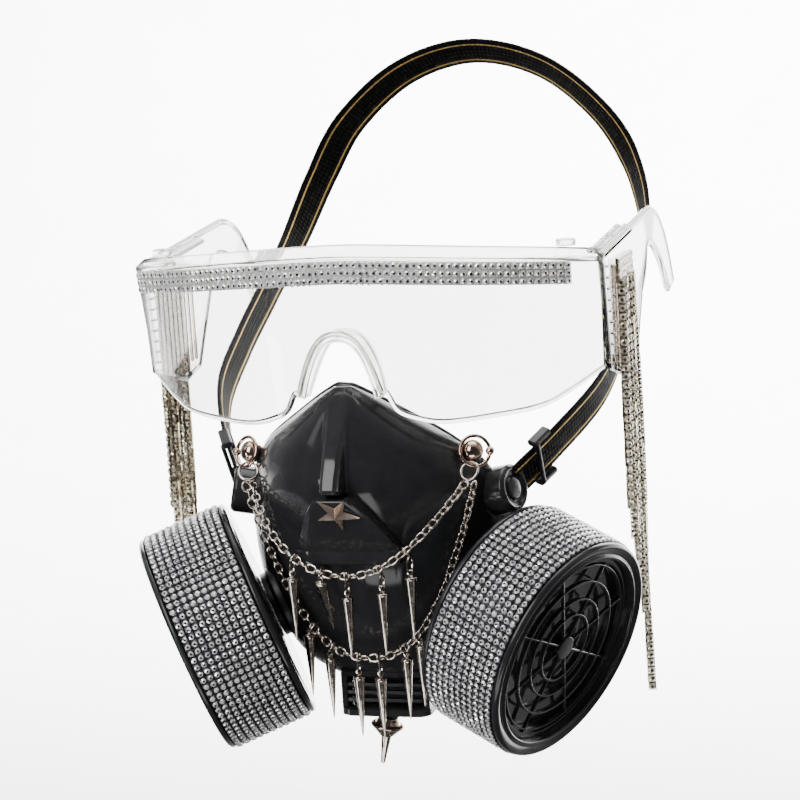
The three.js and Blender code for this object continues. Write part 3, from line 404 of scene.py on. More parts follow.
def add_node(owner, kind, links=(), **settings):
    """Adds a node to a material or world, sets its properties and inputs by name, and links its inputs."""
    node = owner.node_tree.nodes.new(kind)
    for key, value in settings.items():
        if hasattr(node, key):
            setattr(node, key, value)
        else:
            node.inputs[key.replace("_", " ")].default_value = value
    for socket, source in dict(links).items():
        owner.node_tree.links.new(source, node.inputs[socket])
    return node


def new_material(name, **sockets):
    """A material with one shader whose sockets are set by name."""
    material = bpy.data.materials.new(name)
    material.use_nodes = True
    shader = material.node_tree.nodes["Principled BSDF"]
    for key, value in sockets.items():
        shader.inputs[key.replace("_", " ")].default_value = value
    return material, shader


def patterned(material, shader, grain_mm, rough=(0.1, 0.2), bump=0.05, colours=None, detail=4.0):
    """Gives a material uneven gloss, a fine bump and colour drift from noise of a grain size."""
    links = material.node_tree.links
    place = add_node(material, "ShaderNodeTexCoord")
    noise = add_node(material, "ShaderNodeTexNoise", {"Vector": place.outputs["Object"]},
                     Scale=1 / (grain_mm * MM), Detail=detail, Roughness=0.6)
    spread = add_node(material, "ShaderNodeMapRange", {"Value": noise.outputs["Fac"]},
                      From_Min=0.3, From_Max=0.7, To_Min=rough[0], To_Max=rough[1])
    links.new(spread.outputs["Result"], shader.inputs["Roughness"])
    if bump:
        relief = add_node(material, "ShaderNodeBump", {"Height": noise.outputs["Fac"]},
                          Strength=bump, Distance=0.0004)
        links.new(relief.outputs["Normal"], shader.inputs["Normal"])
    if colours:
        ramp = add_node(material, "ShaderNodeValToRGB", {"Fac": noise.outputs["Fac"]})
        ramp.color_ramp.elements[0].position = 0.35
        ramp.color_ramp.elements[1].position = 0.68
        ramp.color_ramp.elements[0].color = linear(colours[0])
        ramp.color_ramp.elements[1].color = linear(colours[1])
        links.new(ramp.outputs["Color"], shader.inputs["Base Color"])
    return material


def gloss_abs():
    """Injection-moulded black ABS, polished: deep black with clean reflections and a faint orange peel."""
    material, shader = new_material("gloss_black_abs", Base_Color=linear("#262628"), Specular_IOR_Level=0.3)
    return patterned(material, shader, 9.0, rough=(0.07, 0.14), bump=0.015, colours=("#242426", "#2a2a2c"))


def satin_abs():
    """The same plastic as it leaves a finely sparked mould: a soft, wide sheen."""
    material, shader = new_material("satin_black_abs", Base_Color=linear("#111113"), IOR=1.53)
    return patterned(material, shader, 1.2, rough=(0.3, 0.45), bump=0.08, colours=("#0d0d0f", "#171719"))


def clear_sheet(name="clear_polycarbonate", tint="#fbfbfa", rough=(0.01, 0.03)):
    """Clear moulded polycarbonate: it bends light at its edges and steps, and is polished on both faces."""
    material, shader = new_material(name, Base_Color=linear(tint), Transmission_Weight=1.0, IOR=1.45)
    return patterned(material, shader, 14.0, rough=rough, bump=0.01)


def nickel_plate():
    """Bright nickel plate with a warm cast, clouded where it has been handled."""
    material, shader = new_material("warm_nickel_plate", Metallic=1.0)
    return patterned(material, shader, 1.6, rough=(0.08, 0.2), bump=0.02, colours=("#a89d92", "#d3cac0"))


def rose_bronze():
    """Rose bronze plate, a little antiqued."""
    material, shader = new_material("rose_bronze_plate", Metallic=1.0)
    return patterned(material, shader, 5.0, rough=(0.3, 0.38), bump=0.0, colours=("#d6bba9", "#ecd8c9"))


def rose_nickel():
    """Polished nickel plate with a rose cast, for the cheek studs and their rings."""
    material, shader = new_material("rose_nickel_plate", Metallic=1.0)
    return patterned(material, shader, 4.0, rough=(0.07, 0.14), bump=0.0, colours=("#a48c7e", "#c6b0a2"))


def champagne_brass():
    """Thin champagne-gold plate over brass."""
    material, shader = new_material("champagne_brass_plate", Metallic=1.0)
    return patterned(material, shader, 1.2, rough=(0.14, 0.3), bump=0.03, colours=("#8f8266", "#d9ceb4"))


def dark_mesh():
    """Blackened metal mesh between the stones: dark, with small dull glints."""
    material, shader = new_material("blackened_metal_mesh", Metallic=1.0)
    return patterned(material, shader, 0.5, rough=(0.3, 0.5), bump=0.1, colours=("#1b1b1d", "#47474a"))


def cup_metal():
    """Pressed cups of rhodium-plated metal round each stone."""
    material, shader = new_material("pressed_cup_metal", Metallic=1.0)
    return patterned(material, shader, 0.8, rough=(0.25, 0.4), bump=0.0, colours=("#2f2f31", "#747477"))


def bright_cup():
    """Silver-plated cups and foil under the goggles' stones."""
    material, shader = new_material("silver_cup_metal", Metallic=0.45)
    return patterned(material, shader, 0.8, rough=(0.25, 0.4), bump=0.0, colours=("#b3b0ad", "#f0ece7"))


def crystal(name, dark, light):
    """Foil-backed cut crystal with painted reflections: random 0.9 mm spots in the base colour, dark to light,
    stand for the patches of the room that each facet throws back.
    """
    material, shader = new_material(name, Metallic=0.45, Roughness=0.03, IOR=1.55, Coat_Weight=1.0,
                                    Coat_Roughness=0.02)
    links = material.node_tree.links
    place = add_node(material, "ShaderNodeTexCoord")
    # Painted reflection: seeded dark and light spots stand for reflected patches of the room, and the light end
    # gives painted glints.
    painted_reflection_spots = add_node(material, "ShaderNodeTexVoronoi", {"Vector": place.outputs["Object"]},
                     Scale=1 / (0.9 * MM), Randomness=1.0)
    split = add_node(material, "ShaderNodeSeparateColor", {"Color": painted_reflection_spots.outputs["Color"]})
    ramp = add_node(material, "ShaderNodeValToRGB", {"Fac": split.outputs["Red"]})
    ramp.color_ramp.elements[0].position = 0.1
    ramp.color_ramp.elements[1].position = 0.3
    ramp.color_ramp.elements[0].color = linear(dark)
    ramp.color_ramp.elements[1].color = linear(light)
    links.new(ramp.outputs["Color"], shader.inputs["Base Color"])
    return material


def woven_elastic():
    """Black woven elastic: ribs across a 15 mm band every 0.9 mm, and two gold threads along it; its colour is
    painted shade in the weave's hollows and painted highlight on its raised points.
    """
    material, shader = new_material("woven_black_elastic", Roughness=0.8, Sheen_Weight=0.03,
                                    Specular_IOR_Level=0.06)
    links = material.node_tree.links
    place = add_node(material, "ShaderNodeUVMap", uv_map="band")
    split = add_node(material, "ShaderNodeSeparateXYZ", {"Vector": place.outputs["UV"]})
    ribs = add_node(material, "ShaderNodeTexWave", {"Vector": place.outputs["UV"]},
                    bands_direction="X", wave_profile="SIN", Scale=1 / (0.9 * MM) / 6.283, Distortion=0.0)
    warp = add_node(material, "ShaderNodeTexWave", {"Vector": place.outputs["UV"]},
                    bands_direction="Y", wave_profile="SIN", Scale=1 / (1.1 * MM) / 6.283, Distortion=0.0)
    weave = add_node(material, "ShaderNodeMath", operation="MULTIPLY")
    links.new(ribs.outputs["Fac"], weave.inputs[0])
    links.new(warp.outputs["Fac"], weave.inputs[1])
    relief = add_node(material, "ShaderNodeBump", {"Height": weave.outputs["Value"]}, Strength=0.7,
                      Distance=0.0005)
    links.new(relief.outputs["Normal"], shader.inputs["Normal"])
    threads = add_node(material, "ShaderNodeMath", operation="ABSOLUTE")
    links.new(split.outputs["Y"], threads.inputs[0])
    offset = add_node(material, "ShaderNodeMath", operation="SUBTRACT")
    offset.inputs[1].default_value = 4.9 * MM
    links.new(threads.outputs["Value"], offset.inputs[0])
    near = add_node(material, "ShaderNodeMath", operation="ABSOLUTE")
    links.new(offset.outputs["Value"], near.inputs[0])
    gold = add_node(material, "ShaderNodeMath", operation="LESS_THAN")
    gold.inputs[1].default_value = 0.38 * MM
    links.new(near.outputs["Value"], gold.inputs[0])
    # Painted shade and highlight: the base colour follows the weave's relief, darker in its hollows and lighter
    # on its raised points.
    ground = add_node(material, "ShaderNodeMix", {"Factor": weave.outputs["Value"]}, data_type="RGBA")
    ground.inputs[6].default_value = linear("#050504")
    ground.inputs[7].default_value = linear("#171813")
    mixed = add_node(material, "ShaderNodeMix", {"Factor": gold.outputs["Value"]}, data_type="RGBA")
    links.new(ground.outputs[2], mixed.inputs[6])
    mixed.inputs[7].default_value = (*bpy.context.scene.mask_sizes.thread, 1)
    links.new(mixed.outputs[2], shader.inputs["Base Color"])
    links.new(gold.outputs["Value"], shader.inputs["Metallic"])
    return material


def filter_felt():
    """Dark grey filter felt behind the grille."""
    material, shader = new_material("filter_felt", Sheen_Weight=0.2)
    return patterned(material, shader, 0.7, rough=(0.8, 0.95), bump=0.5, colours=("#17181a", "#34363a"))


def studio_white():
    """Matte studio paper."""
    material, shader = new_material("studio_paper", Base_Color=linear("#f6f6f6"), Roughness=0.9)
    return patterned(material, shader, 60.0, rough=(0.85, 0.95), bump=0.0, colours=("#f4f4f4", "#f8f8f8"))


def crystal_work(stones, cups, ground):
    """The materials of a field of stones: crowns, tables, cups and what they sit on."""
    return [finish(stones), finish(f"{stones}_table"), finish(cups), finish(ground)]


FINISHES = {}


def finish(key):
    """The material of a finish, made the first time that it is asked for."""
    makers = {
        "gloss": gloss_abs, "satin": satin_abs, "clear": clear_sheet, "nickel": nickel_plate,
        "bronze": rose_bronze, "rose": rose_nickel, "brass": champagne_brass, "mesh": dark_mesh,
        "cup": cup_metal,
        "bright_cup": bright_cup, "elastic": woven_elastic, "felt": filter_felt, "paper": studio_white,
        # Crowns: painted reflections, dark patches among white painted glints.
        "stone": lambda: crystal("crystal_with_painted_reflections", "#9c9da0", "#ffffff"),
        # Tables: painted dark, a painted reflection of the dark room in front of the stones.
        "stone_table": lambda: crystal("crystal_table_painted_dark_reflection", "#0c0d0e", "#4d4f52"),
        "gold_stone": lambda: crystal("champagne_crystal_with_painted_reflections", "#8f826b", "#fdf6e8"),
        "gold_stone_table": lambda: crystal("champagne_table_painted_dark_reflection", "#17140e", "#6f6552"),
        "smoke": lambda: clear_sheet("thick_clear_polycarbonate", "#f1f1ef", (0.02, 0.05)),
        "louvre": lambda: clear_sheet("smoked_louvre_polycarbonate", "#b3a59a", (0.08, 0.16)),
    }
    if key not in FINISHES:
        FINISHES[key] = makers[key]()
    return FINISHES[key]


# The half mask

def smooth_step(value, low, high):
    """0 below low, 1 above high and an even cubic between them."""
    t = np.clip((value - low) / (high - low), 0, 1)
    return t * t * (3 - 2 * t)


def with_ridge(skin, front, down, x):
    """The shell's surface with the nose ridge on it.

    The ridge is a flat-faced column: it rises ahead of the shell's middle line with the distance down,
    and its end drops back as a nub. Its share fades to the skin within a millimetre of its half width.
    """
    rise = np.clip((down - RIDGE_TOP) / (RIDGE_LOW - RIDGE_TOP), 0, 1)**1.2
    along = rise * (1 - smooth_step(down, RIDGE_LOW, RIDGE_LOW + RIDGE_END))
    share = np.exp(-(np.abs(x) / RIDGE_HALF)**8) * (1 - (1 - along)**3)
    return skin + share * (front - RIDGE_REACH * along - skin)


def shell_point(share, turn, grow=0.0):
    """The shell's surface.

    share runs down the mask and turn from edge to edge. Each section is a curve whose power, from the
    table, sets how pointed it is, its middle rounded over four millimetres, with the nose ridge ahead of it.
    """
    half = between(SHELL_SECTIONS, 1, share) * SHELL_HALF + grow
    front = between(SHELL_SECTIONS, 2, share) * NOSE_REACH - grow * 1.15
    rim = between(SHELL_SECTIONS, 3, share) * SHELL_DEPTH
    power = between(SHELL_SECTIONS, 4, share)
    angle = np.abs(turn) * math.pi / 2
    side = np.sin(angle)**(2 / power)
    soft = 4.0 / half
    eased = (np.sqrt(side**2 + soft**2) - soft) / (np.sqrt(1 + soft**2) - soft)
    ahead = np.clip(1 - eased**power, 0, 1)**(1 / power)
    drop = share * SHELL_HEIGHT + 0 * ahead
    x = half * side * np.sign(turn)
    return np.stack([x, with_ridge(rim - (rim - front) * ahead, front, drop, x), -drop], -1)


def mask_shell():
    """The moulded half mask: its wall, and a rolled rim along its edges."""
    share = np.linspace(0, 1, 150)[:, None]**1.1
    turn = np.linspace(-1, 1, 161)[None, :]
    turn = np.sign(turn) * np.abs(turn)**1.3
    outer, inner = shell_point(share, turn), shell_point(share, turn, -SHELL_WALL)
    middle = (outer + inner) / 2
    rim = np.concatenate([middle[::-1, 0], middle[0, 1:-1], middle[:, -1], middle[-1, -2:0:-1]])
    keep = np.linalg.norm(rim - np.roll(rim, 1, 0), axis=1) > 0.4
    rolled = tube(rim[keep], SHELL_WALL / 2 + 0.15, 8, closed=True)
    return [(wall(outer, inner), finish("gloss")), (rolled, finish("gloss"))]


def panel_points(inset, forward):
    """The nose panel's outline at a distance inside it, on its sloping face or upright lip."""
    slope = (PANEL_TOP_FORWARD - PANEL_LOW_FORWARD) / (PANEL_HEIGHT - PANEL_LIP)
    rows = []
    low = PANEL_HEIGHT - PANEL_LIP
    drops = [*np.linspace(inset * 1.2, low - 0.8, 14), low - 0.3, low, low + 0.5, low + 0.5 * PANEL_LIP,
             PANEL_HEIGHT - inset]
    for drop in drops:
        share = min(drop / (PANEL_HEIGHT - PANEL_LIP), 1)
        half = PANEL_TOP_HALF + (PANEL_LOW_HALF - PANEL_TOP_HALF) * share**0.75 - inset
        front = -(PANEL_TOP_FORWARD - slope * min(drop, PANEL_HEIGHT - PANEL_LIP)) - forward
        across = np.linspace(-1, 1, PANEL_POINTS)
        rows.append(np.stack([half * across, front + 0.1 * half * np.abs(across)**8,
                              0 * across - PANEL_TOP - drop], -1))
    return np.array(rows)


def nose_panel():
    """The flared panel with its lip: a bevelled face on a skirt that runs back into the shell."""
    levels = [panel_points(0.0, -1.1), panel_points(0.15, -0.55), panel_points(0.45, -0.2),
              panel_points(1.0, 0.0)]
    rows = levels[0].shape[0]
    index = np.arange(rows * PANEL_POINTS).reshape(rows, PANEL_POINTS)
    border = np.concatenate([index[0, :-1], index[:-1, -1], index[-1, :0:-1], index[:0:-1, 0]])
    base = levels[0].reshape(-1, 3)[border].copy()
    share = -base[:, 2] / SHELL_HEIGHT
    power = between(SHELL_SECTIONS, 4, share)
    half = between(SHELL_SECTIONS, 1, share) * SHELL_HALF
    rim = between(SHELL_SECTIONS, 3, share) * SHELL_DEPTH
    front = between(SHELL_SECTIONS, 2, share) * NOSE_REACH
    skin = rim - (rim - front) * (1 - (np.abs(base[:, 0]) / half)**power)**(1 / power)
    base[:, 1] = with_ridge(skin, front, -base[:, 2], base[:, 0]) + 1.5
    rings = np.array([base] + [level.reshape(-1, 3)[border] for level in levels])
    skirt = (rings.reshape(-1, 3), grid_faces(len(rings), len(border), around=True))
    face = (levels[-1].reshape(-1, 3), grid_faces(rows, PANEL_POINTS))
    return [(joined([skirt, face]), finish("gloss"))]


def rounded_rectangle(half, front, back, corner, count=6):
    """The outline of the vent housing from above: square at the back, round at its two front corners."""
    angle = np.linspace(0, math.pi / 2, count)
    left = np.stack([-half + corner - corner * np.cos(angle), front + corner - corner * np.sin(angle)], -1)
    right = left[::-1] * [-1, 1]
    return np.concatenate([[[-half, back]], left, right, [[half, back]]])


def vent_housing():
    """The chin block: bevelled top and bottom plates, upright corners and bars across its open front."""
    parts = []
    back = VENT_FRONT + VENT_DEPTH
    for top, height in ((-VENT_TOP, 2.6), (-VENT_TOP - VENT_HEIGHT + 3.2, 3.2)):
        levels = [(top - height, 0.7), (top - height + 0.5, 0.0), (top - 0.5, 0.0), (top, 0.7)]
        rings = [np.column_stack([rounded_rectangle(VENT_HALF - inset, VENT_FRONT + inset, back, 4.0),
                                  np.full(14, level)]) for level, inset in levels]
        faces = grid_faces(4, 14, around=True) + [list(range(14))[::-1], list(range(42, 56))]
        parts.append(((np.concatenate(rings), faces), finish("gloss")))
    middle = -VENT_TOP - VENT_HEIGHT / 2
    for level in (3.2, 0.2, -2.8):
        bar = rounded_rectangle(VENT_HALF - 1.2, VENT_FRONT + 1.4, back, 3.2)
        inner = rounded_rectangle(VENT_HALF - 3.0, VENT_FRONT + 3.4, back, 2.2)
        outer = np.stack([np.column_stack([bar, np.full(14, middle + level + h)]) for h in (-0.6, 0.6)])
        behind = np.stack([np.column_stack([inner, np.full(14, middle + level + h)]) for h in (-0.6, 0.6)])
        parts.append((wall(outer, behind), finish("satin")))
    for side in (-1, 1):
        post = block((2.4, VENT_DEPTH - 2, VENT_HEIGHT - 1), 0.5)
        place = [side * (VENT_HALF - 1.5), VENT_FRONT + VENT_DEPTH / 2 + 1, middle]
        parts.append(((post[0] + place, post[1]), finish("gloss")))
    backing = block((2 * VENT_HALF - 6, 1.2, VENT_HEIGHT - 4), 0.2)
    parts.append(((backing[0] + [0, VENT_FRONT + 9, middle], backing[1]), finish("felt")))
    return parts


# The cartridges

def cartridge_housing():
    """The turned housing: back flange, barrel, wide rolled rim, stepped recess and a coned floor."""
    rim, back = CARTRIDGE_RADIUS, -CARTRIDGE_DEPTH
    barrel = rim - BARREL_INSET
    corners = [[0, back], [rim - 6, back], [rim - 5, back + 0.6], [rim - 1.2, back + 0.4], [rim, back + 1.4],
               [rim, back + FLANGE], [barrel, back + FLANGE], [barrel, -RIM_LIP], [rim, -RIM_LIP],
               [rim, -1.2], [rim - 1.2, -0.1], [rim - 3.4, -0.9], [RECESS_RADIUS + 1.8, -1.2],
               [RECESS_RADIUS + 0.8, -0.3], [RECESS_RADIUS, -0.6], [RECESS_RADIUS - 0.3, -RECESS_DEPTH + 1.2],
               [RECESS_RADIUS - 3, -RECESS_DEPTH + 0.3], [20, -RECESS_DEPTH - 0.5], [0, -RECESS_DEPTH + 1.4]]
    return turned(smooth_profile(corners, 4, 0.9), 144)


def grille_frame():
    """The grille: a stepped outer ring, three thin rings, eight thin spokes and a flat hub."""
    low, high = -GRILLE_DROP - 1.8, -GRILLE_DROP
    outer = RECESS_RADIUS - GAP
    def ring(radius, width, top=high):
        corners = [[radius - width / 2, low], [radius + width / 2, low], [radius + width / 2, top],
                   [radius - width / 2, top], [radius - width / 2, low]]
        return turned(smooth_profile(corners, 2, 0.25), 96)
    rings = [ring(outer - 1, 2), ring(0.9 * RECESS_RADIUS, 0.7), ring(0.72 * RECESS_RADIUS, 0.9),
             ring(0.53 * RECESS_RADIUS, 0.7), ring(0.36 * RECESS_RADIUS, 0.8)]
    hub = turned(smooth_profile([[0, low], [4.6, low], [4.6, high + 0.5], [0, high + 0.5]], 3, 0.4), 40)
    spokes = []
    for i in range(4):
        angle = i * math.pi / 4
        bar = block((2 * outer - 2, 0.8, 1.5), 0.2)
        spokes.append((spun(bar[0], (0, 0, 1), math.degrees(angle)) + [0, 0, (low + high) / 2], bar[1]))
    return joined(rings + [hub] + spokes)


def stone():
    """One cut stone of unit radius: its crown of triangles and quads, and the flat table on top."""
    def ring(radius, height, sides, shift):
        angle = (np.arange(sides) + shift) * 2 * math.pi / sides
        return np.stack([radius * np.cos(angle), radius * np.sin(angle), 0 * angle + height], -1)
    sides = 8
    verts = np.concatenate([ring(1.0, 0.0, sides, 0), ring(0.82, 0.4, sides, 0.5),
                            ring(0.45, 0.62, sides, 0.5)])
    faces = []
    for i in range(sides):
        j = (i + 1) % sides
        faces += [[i, j, sides + i], [j, sides + j, sides + i],
                  [sides + i, sides + j, 2 * sides + j, 2 * sides + i]]
    return (verts, faces), (verts[2 * sides:], [list(range(sides))])


def cup():
    """The square cup round a stone of unit radius: a low sloping frame with four raised corner prongs."""
    def square(half, height, prong):
        corner = np.array([[-1, -1], [0, -1], [1, -1], [1, 0], [1, 1], [0, 1], [-1, 1], [-1, 0]], float)
        lift = np.where(np.abs(corner).sum(1) > 1, prong, 0.0)
        return np.column_stack([corner * half, height + lift])
    verts = np.concatenate([square(1.16, -0.5, 0.0), square(1.08, 0.0, 0.16), square(0.78, 0.06, 0.3)])
    return verts, grid_faces(3, 8, around=True)


def stone_field(places, outs, alongs, seed, radius=STONE_RADIUS):
    """Stones and cups at many places, each facing out and turned to its row, with small seeded tilts."""
    dice = np.random.default_rng(seed)
    outs = unit(outs + dice.normal(0, 0.05, outs.shape))
    across = unit(np.cross(outs, alongs))
    along = np.cross(across, outs)
    turns = np.stack([along, across, outs], -1) * radius
    spin = dice.uniform(0, 2 * math.pi, len(places))
    c, s, zero, one = np.cos(spin), np.sin(spin), np.zeros(len(spin)), np.ones(len(spin))
    spins = np.stack([np.stack([c, -s, zero], -1), np.stack([s, c, zero], -1),
                      np.stack([zero, zero, one], -1)], 1)
    crown, table = stone()
    return (copies(crown, turns @ spins, places), copies(table, turns @ spins, places),
            copies(cup(), turns, places))


def sleeve(pitch):
    """The crystal sleeve: eleven rows of stones round the barrel, on a dark mesh band."""
    radius = CARTRIDGE_RADIUS - BARREL_INSET + GAP + 1.35
    low, high = -CARTRIDGE_DEPTH + FLANGE + GAP, -RIM_LIP - GAP
    count = round(2 * math.pi * (radius + 0.6) / pitch)
    height, angle = np.meshgrid(low + (np.arange(SLEEVE_ROWS) + 0.5) * (high - low) / SLEEVE_ROWS,
                                np.arange(count) * 2 * math.pi / count, indexing="ij")
    height, angle = height.ravel(), angle.ravel()
    outs = np.stack([np.cos(angle), np.sin(angle), 0 * angle], -1)
    places = outs * radius + np.stack([0 * angle, 0 * angle, height], -1)
    alongs = np.stack([-np.sin(angle), np.cos(angle), 0 * angle], -1)
    turn = turn_to(CARTRIDGE_AXIS)
    crowns, tables, cups = stone_field(places @ turn.T + CARTRIDGE_PLACE, outs @ turn.T, alongs @ turn.T, 7)
    base = turned([[radius - 1.3, low], [radius - 0.45, low], [radius - 0.45, high], [radius - 1.3, high],
                   [radius - 1.3, low]], 128)
    return crowns, tables, cups, placed(base, CARTRIDGE_PLACE, CARTRIDGE_AXIS)


def filter_port():
    """The bayonet port behind a cartridge: a stepped, turned neck that runs into the shell."""
    deep = -CARTRIDGE_DEPTH
    corners = [[0, deep - PORT_LENGTH], [11, deep - PORT_LENGTH], [11, deep - 7], [PORT_RADIUS, deep - 6],
               [PORT_RADIUS, deep - 3.2], [12.6, deep - 2.6], [12.6, deep - GAP], [0, deep - GAP]]
    return placed(turned(smooth_profile(corners, 3, 0.5), 64), CARTRIDGE_PLACE, CARTRIDGE_AXIS)


# The strap

def strap_line(share):
    """The strap's middle line, from -1 at the right lug over the back of the head to 1 at the left lug."""
    way = 1 - np.abs(share)
    side, back, rise = (between(STRAP_ROUTE, column, way) for column in (1, 2, 3))
    return np.stack([np.sign(share) * side * STRAP_HALF, back * STRAP_BACK, rise * STRAP_RISE], -1)


def strap_frame(share):
    """The directions along the strap, across its width and out of its face."""
    step = 0.005
    along = unit(strap_line(np.minimum(share + step, 1)) - strap_line(np.maximum(share - step, -1)))
    away = unit(strap_line(share) - [0, STRAP_BACK / 2, 0])
    across = unit(np.cross(away, along))
    return along, across, unit(np.cross(along, across))


def strap_band():
    """The elastic band: a flat oval section carried along the strap's line, with lengths for its weave."""
    share = np.linspace(-1, 1, 241)
    line = strap_line(share)
    _, across, out = strap_frame(share)
    section = np.array([[-0.5, 0.0], [-0.49, 0.36], [-0.44, 0.5], [0.0, 0.5], [0.44, 0.5], [0.49, 0.36],
                        [0.5, 0.0], [0.49, -0.36], [0.44, -0.5], [0.0, -0.5], [-0.44, -0.5], [-0.49, -0.36]])
    points = (line[:, None] + across[:, None] * section[None, :, :1] * STRAP_WIDTH
              + out[:, None] * section[None, :, 1:] * STRAP_THICK)
    count = len(section)
    faces = grid_faces(len(share), count, around=True)
    faces += [list(range(count))[::-1], list(range((len(share) - 1) * count, len(share) * count))]
    return (points.reshape(-1, 3), faces), run_along(line)


def strap_lug():
    """The round boss that takes the strap: stepped, turned, with a raised ring on its face."""
    corners = [[0, -LUG_STEM], [LUG_RADIUS, -LUG_STEM], [LUG_RADIUS, 2.6], [LUG_RADIUS - 1.2, 3.8],
               [LUG_RADIUS - 2.2, 3.6], [LUG_RADIUS - 2.8, 2.6], [LUG_RADIUS - 4.4, 2.4],
               [LUG_RADIUS - 5, 3.4], [0, 3.8]]
    return placed(turned(smooth_profile(corners, 3, 0.5), 56), LUG_PLACE, LUG_AXIS)


def strap_buckle():
    """The slide buckle: two side rails and two round bars about the strap."""
    _, across, out = strap_frame(np.array([BUCKLE_AT]))
    turn = np.stack([across[0], out[0], np.cross(across[0], out[0])], -1)
    half = STRAP_WIDTH / 2 + 2.0
    rail = block((2.6, 4.2, BUCKLE_LENGTH), 0.6)
    rails = [(rail[0] + [side * half, 0, 0], rail[1]) for side in (-1, 1)]
    bars = []
    for side in (-1, 1):
        x = np.linspace(-half, half, 9)
        bars.append(tube(np.stack([x, 0 * x + side * 1.9, 0 * x + 3.6 * side], -1), 0.9, 10))
    verts, faces = joined(rails + bars)
    return verts @ turn.T + strap_line(np.array([BUCKLE_AT]))[0], faces


# Studs, rings, chains and spikes

ring_place = STUD_PLACE + unit(STUD_AXIS) * RING_FORWARD
ring_turn = unit(RING_AXIS)
ring_down = spun(unit(np.array([0, 0, -1.0]) + ring_turn * ring_turn[2]), ring_turn, -RING_PULL)
jump_place = ring_place + ring_down * (RING_RADIUS + JUMP_RADIUS - RING_WIRE - JUMP_WIRE - GAP)
chain_top = np.array([jump_place[0], jump_place[1], jump_place[2] - JUMP_RADIUS - JUMP_WIRE - GAP])


def ball(radius, rings=12, sides=24):
    """A ball about the origin, from half circles carried round it."""
    angle = np.linspace(-math.pi / 2, math.pi / 2, rings)
    return turned(np.stack([radius * np.cos(angle), radius * np.sin(angle)], -1), sides)


def cheek_stud():
    """The ball stud: a post, a collar and a bright ball."""
    profile = smooth_profile([[0, -6], [1.8, -6], [1.8, -2.6], [2.6, -2.5], [2.6, -1.9]], 2, 0.2)
    angle = np.linspace(-0.3 * math.pi, 0.5 * math.pi, 14)
    head = np.stack([STUD_BALL * np.cos(angle), STUD_BALL * np.sin(angle)], -1)
    return placed(turned(np.concatenate([profile, head]), 40), STUD_PLACE, STUD_AXIS)


def stud_ring():
    """The ring round the stud with its bead."""
    bead_place = np.array([RING_RADIUS * 0.9, RING_RADIUS * 0.45, 0])
    verts, faces = ball(BEAD_RADIUS)
    return placed(joined([ring_wire(RING_RADIUS, RING_WIRE + 0.15, 48, 10), (verts + bead_place, faces)]),
                  ring_place, RING_AXIS)


def jump_ring():
    """The jump ring that hangs in the stud's ring, turned out of its plane."""
    return placed(ring_wire(JUMP_RADIUS, JUMP_WIRE, 40, 10), jump_place,
                  spun(ring_turn, ring_down, JUMP_TURN))


def upper_line(side):
    """The upper chain's middle line, from -1 to 1: it falls and comes forward over the panel's lip."""
    s = np.abs(side)
    forward = chain_top[1] + PANEL_LOW_FORWARD + CHAIN_RADIUS + UPPER_CLEAR
    return np.stack([side * (chain_top[0] - CHAIN_RADIUS - GAP), chain_top[1] - forward * (1 - s**4),
                     chain_top[2] - UPPER_DROP * (1 - s**2.05)], -1)


def lower_line(side):
    """The lower chain's middle line, from -1 to 1: it hangs in one upright plane."""
    s = np.abs(side)
    return np.stack([side * (chain_top[0] + CHAIN_RADIUS + GAP), chain_top[1] + 0 * side,
                     chain_top[2] - LOWER_DROP * (1 - s**2.4)], -1)


def link():
    """One link: a round wire bent into a long ring with half-round ends."""
    bend = LINK_WIDTH / 2 - LINK_WIRE
    straight = LINK_LENGTH / 2 - LINK_WIRE - bend
    angle = np.linspace(-math.pi / 2, math.pi / 2, 8)
    end = np.stack([straight + bend * np.cos(angle), bend * np.sin(angle), 0 * angle], -1)
    return tube(np.concatenate([end, end * [-1, -1, 1]]), LINK_WIRE, 7, closed=True)


def linked_chain(line, pitch, seed):
    """Links along a line, spaced by equal lengths, each turned a quarter from its neighbour."""
    fine = line(np.linspace(-1, 1, 2001))
    run = run_along(fine)
    count = int(round(run[-1] / pitch))
    marks = (np.arange(count) + 0.5) * run[-1] / count
    places = at_lengths(fine, run, marks)
    along = unit(at_lengths(fine, run, marks + 0.8) - at_lengths(fine, run, marks - 0.8))
    dice = np.random.default_rng(seed)
    side = unit(np.cross(along, np.array([0.0, 1.0, 0.0])))
    front = np.cross(side, along)
    roll = (np.arange(count) % 2) * math.pi / 2 + math.pi / 5 + dice.normal(0, 0.16, count)
    across = side * np.cos(roll)[:, None] + front * np.sin(roll)[:, None]
    return copies(link(), np.stack([along, across, np.cross(along, across)], -1), places)


def tipped(shape, axis, degrees):
    """A shape carried round an axis through the origin by an angle."""
    return spun(shape[0], np.asarray(axis, float), degrees), shape[1]


